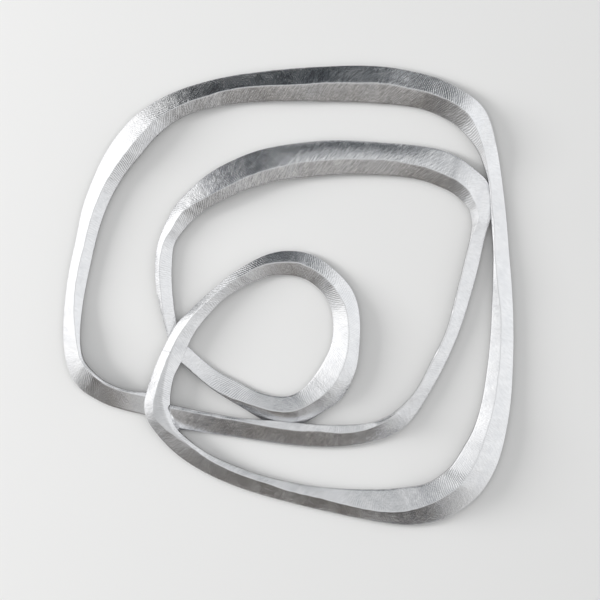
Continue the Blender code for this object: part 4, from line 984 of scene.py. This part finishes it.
def bead(node):
    """The weld as it was laid: one crescent after another, about 1.7 mm apart, along the bead."""
    src = frame["nodes"][node]
    obj = bpy.data.objects.new(node + "_bead", src.data.copy())
    bpy.context.scene.collection.objects.link(obj)
    obj.matrix_world = src.matrix_world.copy()
    voxels = obj.modifiers.new("voxels", "REMESH")
    voxels.mode, voxels.voxel_size = "VOXEL", 0.00045
    soft = obj.modifiers.new("soft", "SMOOTH")
    soft.factor, soft.iterations = 0.5, 5
    dg = bpy.context.evaluated_depsgraph_get()
    done = bpy.data.meshes.new_from_object(obj.evaluated_get(dg))
    obj.modifiers.clear()
    obj.data = done
    p = world_points(obj)
    flat = p[:, [0, 2]] - p[:, [0, 2]].mean(0)
    axes = np.linalg.svd(flat[:: max(len(flat) // 2000, 1)], full_matrices=False)[2]
    along, across = flat @ axes[0], flat @ axes[1]
    across = across - np.polyval(np.polyfit(along, across, 3), along)
    n = np.empty(len(done.vertices) * 3)
    done.vertices.foreach_get("normal", n)
    n = n.reshape(-1, 3)
    crescents = np.abs(np.sin(math.pi * (along + 110.0 * across**2) / 0.0017)) ** 0.6
    push = 0.00022 * (crescents - 0.75) * np.clip(n[:, 1] + 0.2, 0, 1)
    co = np.empty(len(done.vertices) * 3)
    done.vertices.foreach_get("co", co)
    done.vertices.foreach_set("co", (co.reshape(-1, 3) + n * push[:, None]).ravel())
    done.shade_smooth()
    done.materials.clear()
    done.materials.append(WELD)
    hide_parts(node)
    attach(obj, "root")


def pad(node, seed):
    """A punched felt disc: soft rounded edges, sides that swell a little, faces that are not quite flat."""
    p = world_points(frame["nodes"][node])
    lo, hi = p.min(0), p.max(0)
    cx, cz, r, y0, y1 = (lo[0] + hi[0]) / 2, (lo[2] + hi[2]) / 2, (hi[0] - lo[0]) / 2, lo[1], hi[1]
    edge, swell = 0.00042, 0.00018
    turn_ = np.linspace(0, 2 * math.pi, 96, endpoint=False)
    inner_r = [0.08, 0.2, 0.34, 0.48, 0.62, 0.75, 0.87]
    profile = [(q * (r - edge), y0, 1.0) for q in inner_r]
    for i in range(6):
        a = math.radians(90 * i / 5)
        profile.append((r - swell - edge + edge * math.sin(a), y0 + edge * (1 - math.cos(a)), 0.0))
    profile.append((r - 0.00004, (y0 + y1) / 2, 0.0))
    for i in range(6):
        a = math.radians(90 - 90 * i / 5)
        profile.append((r - swell - edge + edge * math.sin(a), y1 - edge * (1 - math.cos(a)), 0.0))
    profile += [(q * (r - edge), y1, -1.0) for q in inner_r[::-1]]
    rim = 1 - 0.004 * (1 + np.sin(3 * turn_ + seed) * 0.5 + np.sin(7 * turn_ + 2.1 * seed) * 0.5)
    rings = []
    for rad, y, face in profile:
        dip = 0.00003 * (2 + np.sin(5 * turn_ + 900 * rad + seed) + np.sin(2 * turn_ - 1400 * rad + 1.7 * seed))
        rings.append(np.column_stack([cx + rad * rim * np.cos(turn_), y + face * dip, cz + rad * rim * np.sin(turn_)]))
    rings = np.stack(rings)
    obj = mesh_object(node + "_felt", rings, np.zeros(rings.shape[:2] + (2,)), [FELT])
    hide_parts(node)
    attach(obj, "root")


for k, node in enumerate(sorted(n for n in frame["nodes"] if n.startswith("felt_pad_"))):
    pad(node, 1.3 * k + 0.4)

for node, obj in frame["nodes"].items():
    if obj.hide_render:
        continue
    if node.startswith("weld_"):
        bead(node)
        continue
    obj.data.materials.clear()
    obj.data.materials.append(ZINC if "plate" in node else STEEL)

# ---- stage -------------------------------------------------------------------------------------------------------
VIEW_D = 3.5
WALL_FILL = 0.0
KEY_WATTS = 222.0


def plane(name, corners, mat):
    mesh = bpy.data.meshes.new(name)
    mesh.from_pydata(corners, [], [(0, 1, 2, 3)])
    obj = bpy.data.objects.new(name, mesh)
    bpy.context.scene.collection.objects.link(obj)
    mesh.materials.append(mat)
    return obj


def wall_paint():
    m, t, bsdf = material("wall_paint")
    bsdf.inputs["Base Color"].default_value = (0.86, 0.857, 0.848, 1)
    bsdf.inputs["Roughness"].default_value = 0.9
    bsdf.inputs["Specular IOR Level"].default_value = 0.1
    return m


wall = plane("wall", [(-16, 0.0005, -16), (16, 0.0005, -16), (16, 0.0005, 16), (-16, 0.0005, 16)], wall_paint())

camera = bpy.data.objects.new("camera", bpy.data.cameras.new("camera"))
bpy.context.scene.collection.objects.link(camera)
camera.data.sensor_width = 36.0
camera.data.lens = 36.0 * VIEW_D / (600 * UNIT)
camera.location = ((300 - SHEET_X) * UNIT, -(VIEW_D + PAD_T + 0.0045), (SHEET_Y - 300) * UNIT)
camera.rotation_euler = (math.pi / 2, 0, 0)
camera.data.clip_start, camera.data.clip_end = 0.05, 60
bpy.context.scene.camera = camera

# ---- light -------------------------------------------------------------------------------------------------------
world_ = bpy.data.worlds.new("studio")
bpy.context.scene.world = world_
world_.use_nodes = True
wt = Nodes(world_.node_tree)
for n in list(world_.node_tree.nodes):
    world_.node_tree.nodes.remove(n)
coord = wt.new("ShaderNodeTexCoord")
dsep = wt.new("ShaderNodeSeparateXYZ")
wt.link(coord.outputs["Generated"], dsep.inputs[0])
dx, dy, dz = dsep.outputs
turn = wt.math("ARCTAN2", dz, dx)  # 0 right, quarter turn up
turn = wt.math("MULTIPLY", wt.math("ADD", turn, math.pi), 1 / (2 * math.pi))  # 0 left, .25 down, .5 right, .75 up, 1 left


def deg(a):
    """Position on the ring for an angle counted from the right, anticlockwise."""
    return ((a + 180.0) % 360.0) / 360.0


def grey(v, tint=0.0):
    """A near grey: tint above 0 is cooler, below 0 warmer."""
    return (v * (1 - tint), v, v * (1 + tint))


HORIZON = [
    (-180, 1.22, 0), (-170, 1.08, 0), (-160, 0.90, 0.0), (-151, 0.62, 0.0), (-140, 0.36, 0.0), (-128, 0.21, -0.02), (-112, 0.125, -0.07), (-95, 0.115, -0.08),
    (-82, 0.145, -0.05), (-70, 0.22, -0.02), (-60, 0.37, 0), (-50, 0.54, 0), (-38, 0.72, 0.005), (-25, 0.86, 0.01), (-10, 0.92, 0.012), (15, 0.95, 0.014),
    (40, 0.92, 0.014), (50, 0.82, 0.01), (60, 0.48, 0.02), (70, 0.20, 0.05), (82, 0.09, 0.10), (98, 0.03, 0.16), (109, 0.03, 0.16),
    (115, 0.06, 0.10), (120, 0.20, 0.03), (124, 0.68, 0.0), (129, 1.2, 0.0), (155, 1.30, 0),
]
FRONT = [
    (-180, 1.0, 0.008), (-150, 0.70, 0.008), (-120, 0.43, -0.025), (-90, 0.40, -0.03), (-60, 0.50, -0.01), (-30, 0.80, 0.008), (0, 0.91, 0.01), (40, 0.86, 0.01), (62, 0.62, 0.02),
    (80, 0.40, 0.03), (112, 0.37, 0.035), (126, 0.62, 0.01), (150, 0.95, 0.008),
]
CORE = [(-180, 0.64), (-120, 0.55), (-90, 0.52), (-45, 0.64), (0, 0.86), (45, 0.82), (75, 0.74), (100, 0.72), (130, 0.66)]
horizon = wt.ramp(turn, [(deg(a), grey(v, k)) for a, v, k in HORIZON] + [(0.99999, grey(HORIZON[0][1]))])
around = wt.ramp(turn, [(deg(a), grey(v, k)) for a, v, k in FRONT] + [(0.99999, grey(FRONT[0][1], 0.008))])
frontness = wt.math("MULTIPLY", dy, -1.0)
core = wt.ramp(turn, [(deg(a), grey(v, 0.008)) for a, v in CORE] + [(0.99999, grey(CORE[0][1], 0.008))])
ahead = wt.mix(wt.remap(frontness, 0.54, 0.80, 0.0, 1.0), around, core)
ahead = wt.mix(wt.remap(frontness, 0.86, 0.99, 0.0, 1.0), ahead, grey(0.62, 0.01))
blend = wt.remap(frontness, 0.33, 0.56, 0.0, 1.0)
blend.node.interpolation_type = "SMOOTHSTEP"
sky = wt.mix(blend, horizon, ahead)
behind = wt.remap(dy, 0.05, 0.45, 0.0, 1.0)
sky = wt.mix(behind, sky, grey(0.62))
background = wt.new("ShaderNodeBackground")
wt.link(sky, background.inputs["Color"])
plain = wt.new("ShaderNodeBackground")
plain.inputs["Color"].default_value = (0.80, 0.80, 0.80, 1)
path = wt.new("ShaderNodeLightPath")
wt.link(wt.math("ADD", 1.0, wt.math("MULTIPLY", path.outputs["Is Diffuse Ray"], WALL_FILL)), background.inputs["Strength"])
mixer = wt.new("ShaderNodeMixShader")
wt.link(path.outputs["Is Camera Ray"], mixer.inputs[0])
wt.link(background.outputs[0], mixer.inputs[1])
wt.link(plain.outputs[0], mixer.inputs[2])
key = bpy.data.objects.new("key", bpy.data.lights.new("key", "AREA"))
bpy.context.scene.collection.objects.link(key)
key.data.shape, key.data.size, key.data.energy = "SQUARE", 1.6, KEY_WATTS
key.location = (-4.8, -1.65, 0.5)
key.rotation_mode = "QUATERNION"
key.rotation_quaternion = (Vector((-0.03, 0, -0.33)) - key.location).to_track_quat("-Z", "Y")
key.visible_glossy = False
out = wt.new("ShaderNodeOutputWorld")
wt.link(mixer.outputs[0], out.inputs[0])

scene = bpy.context.scene
scene.view_settings.view_transform = "Standard"
scene.view_settings.look = "None"

rule = wall.driver_add("hide_render").driver
rule.type = "SCRIPTED"
seen_from = rule.variables.new()
seen_from.name, seen_from.type = "y", "TRANSFORMS"
seen_from.targets[0].id, seen_from.targets[0].transform_type, seen_from.targets[0].transform_space = scene.camera, "LOC_Y", "WORLD_SPACE"
rule.expression = "y > -0.4"
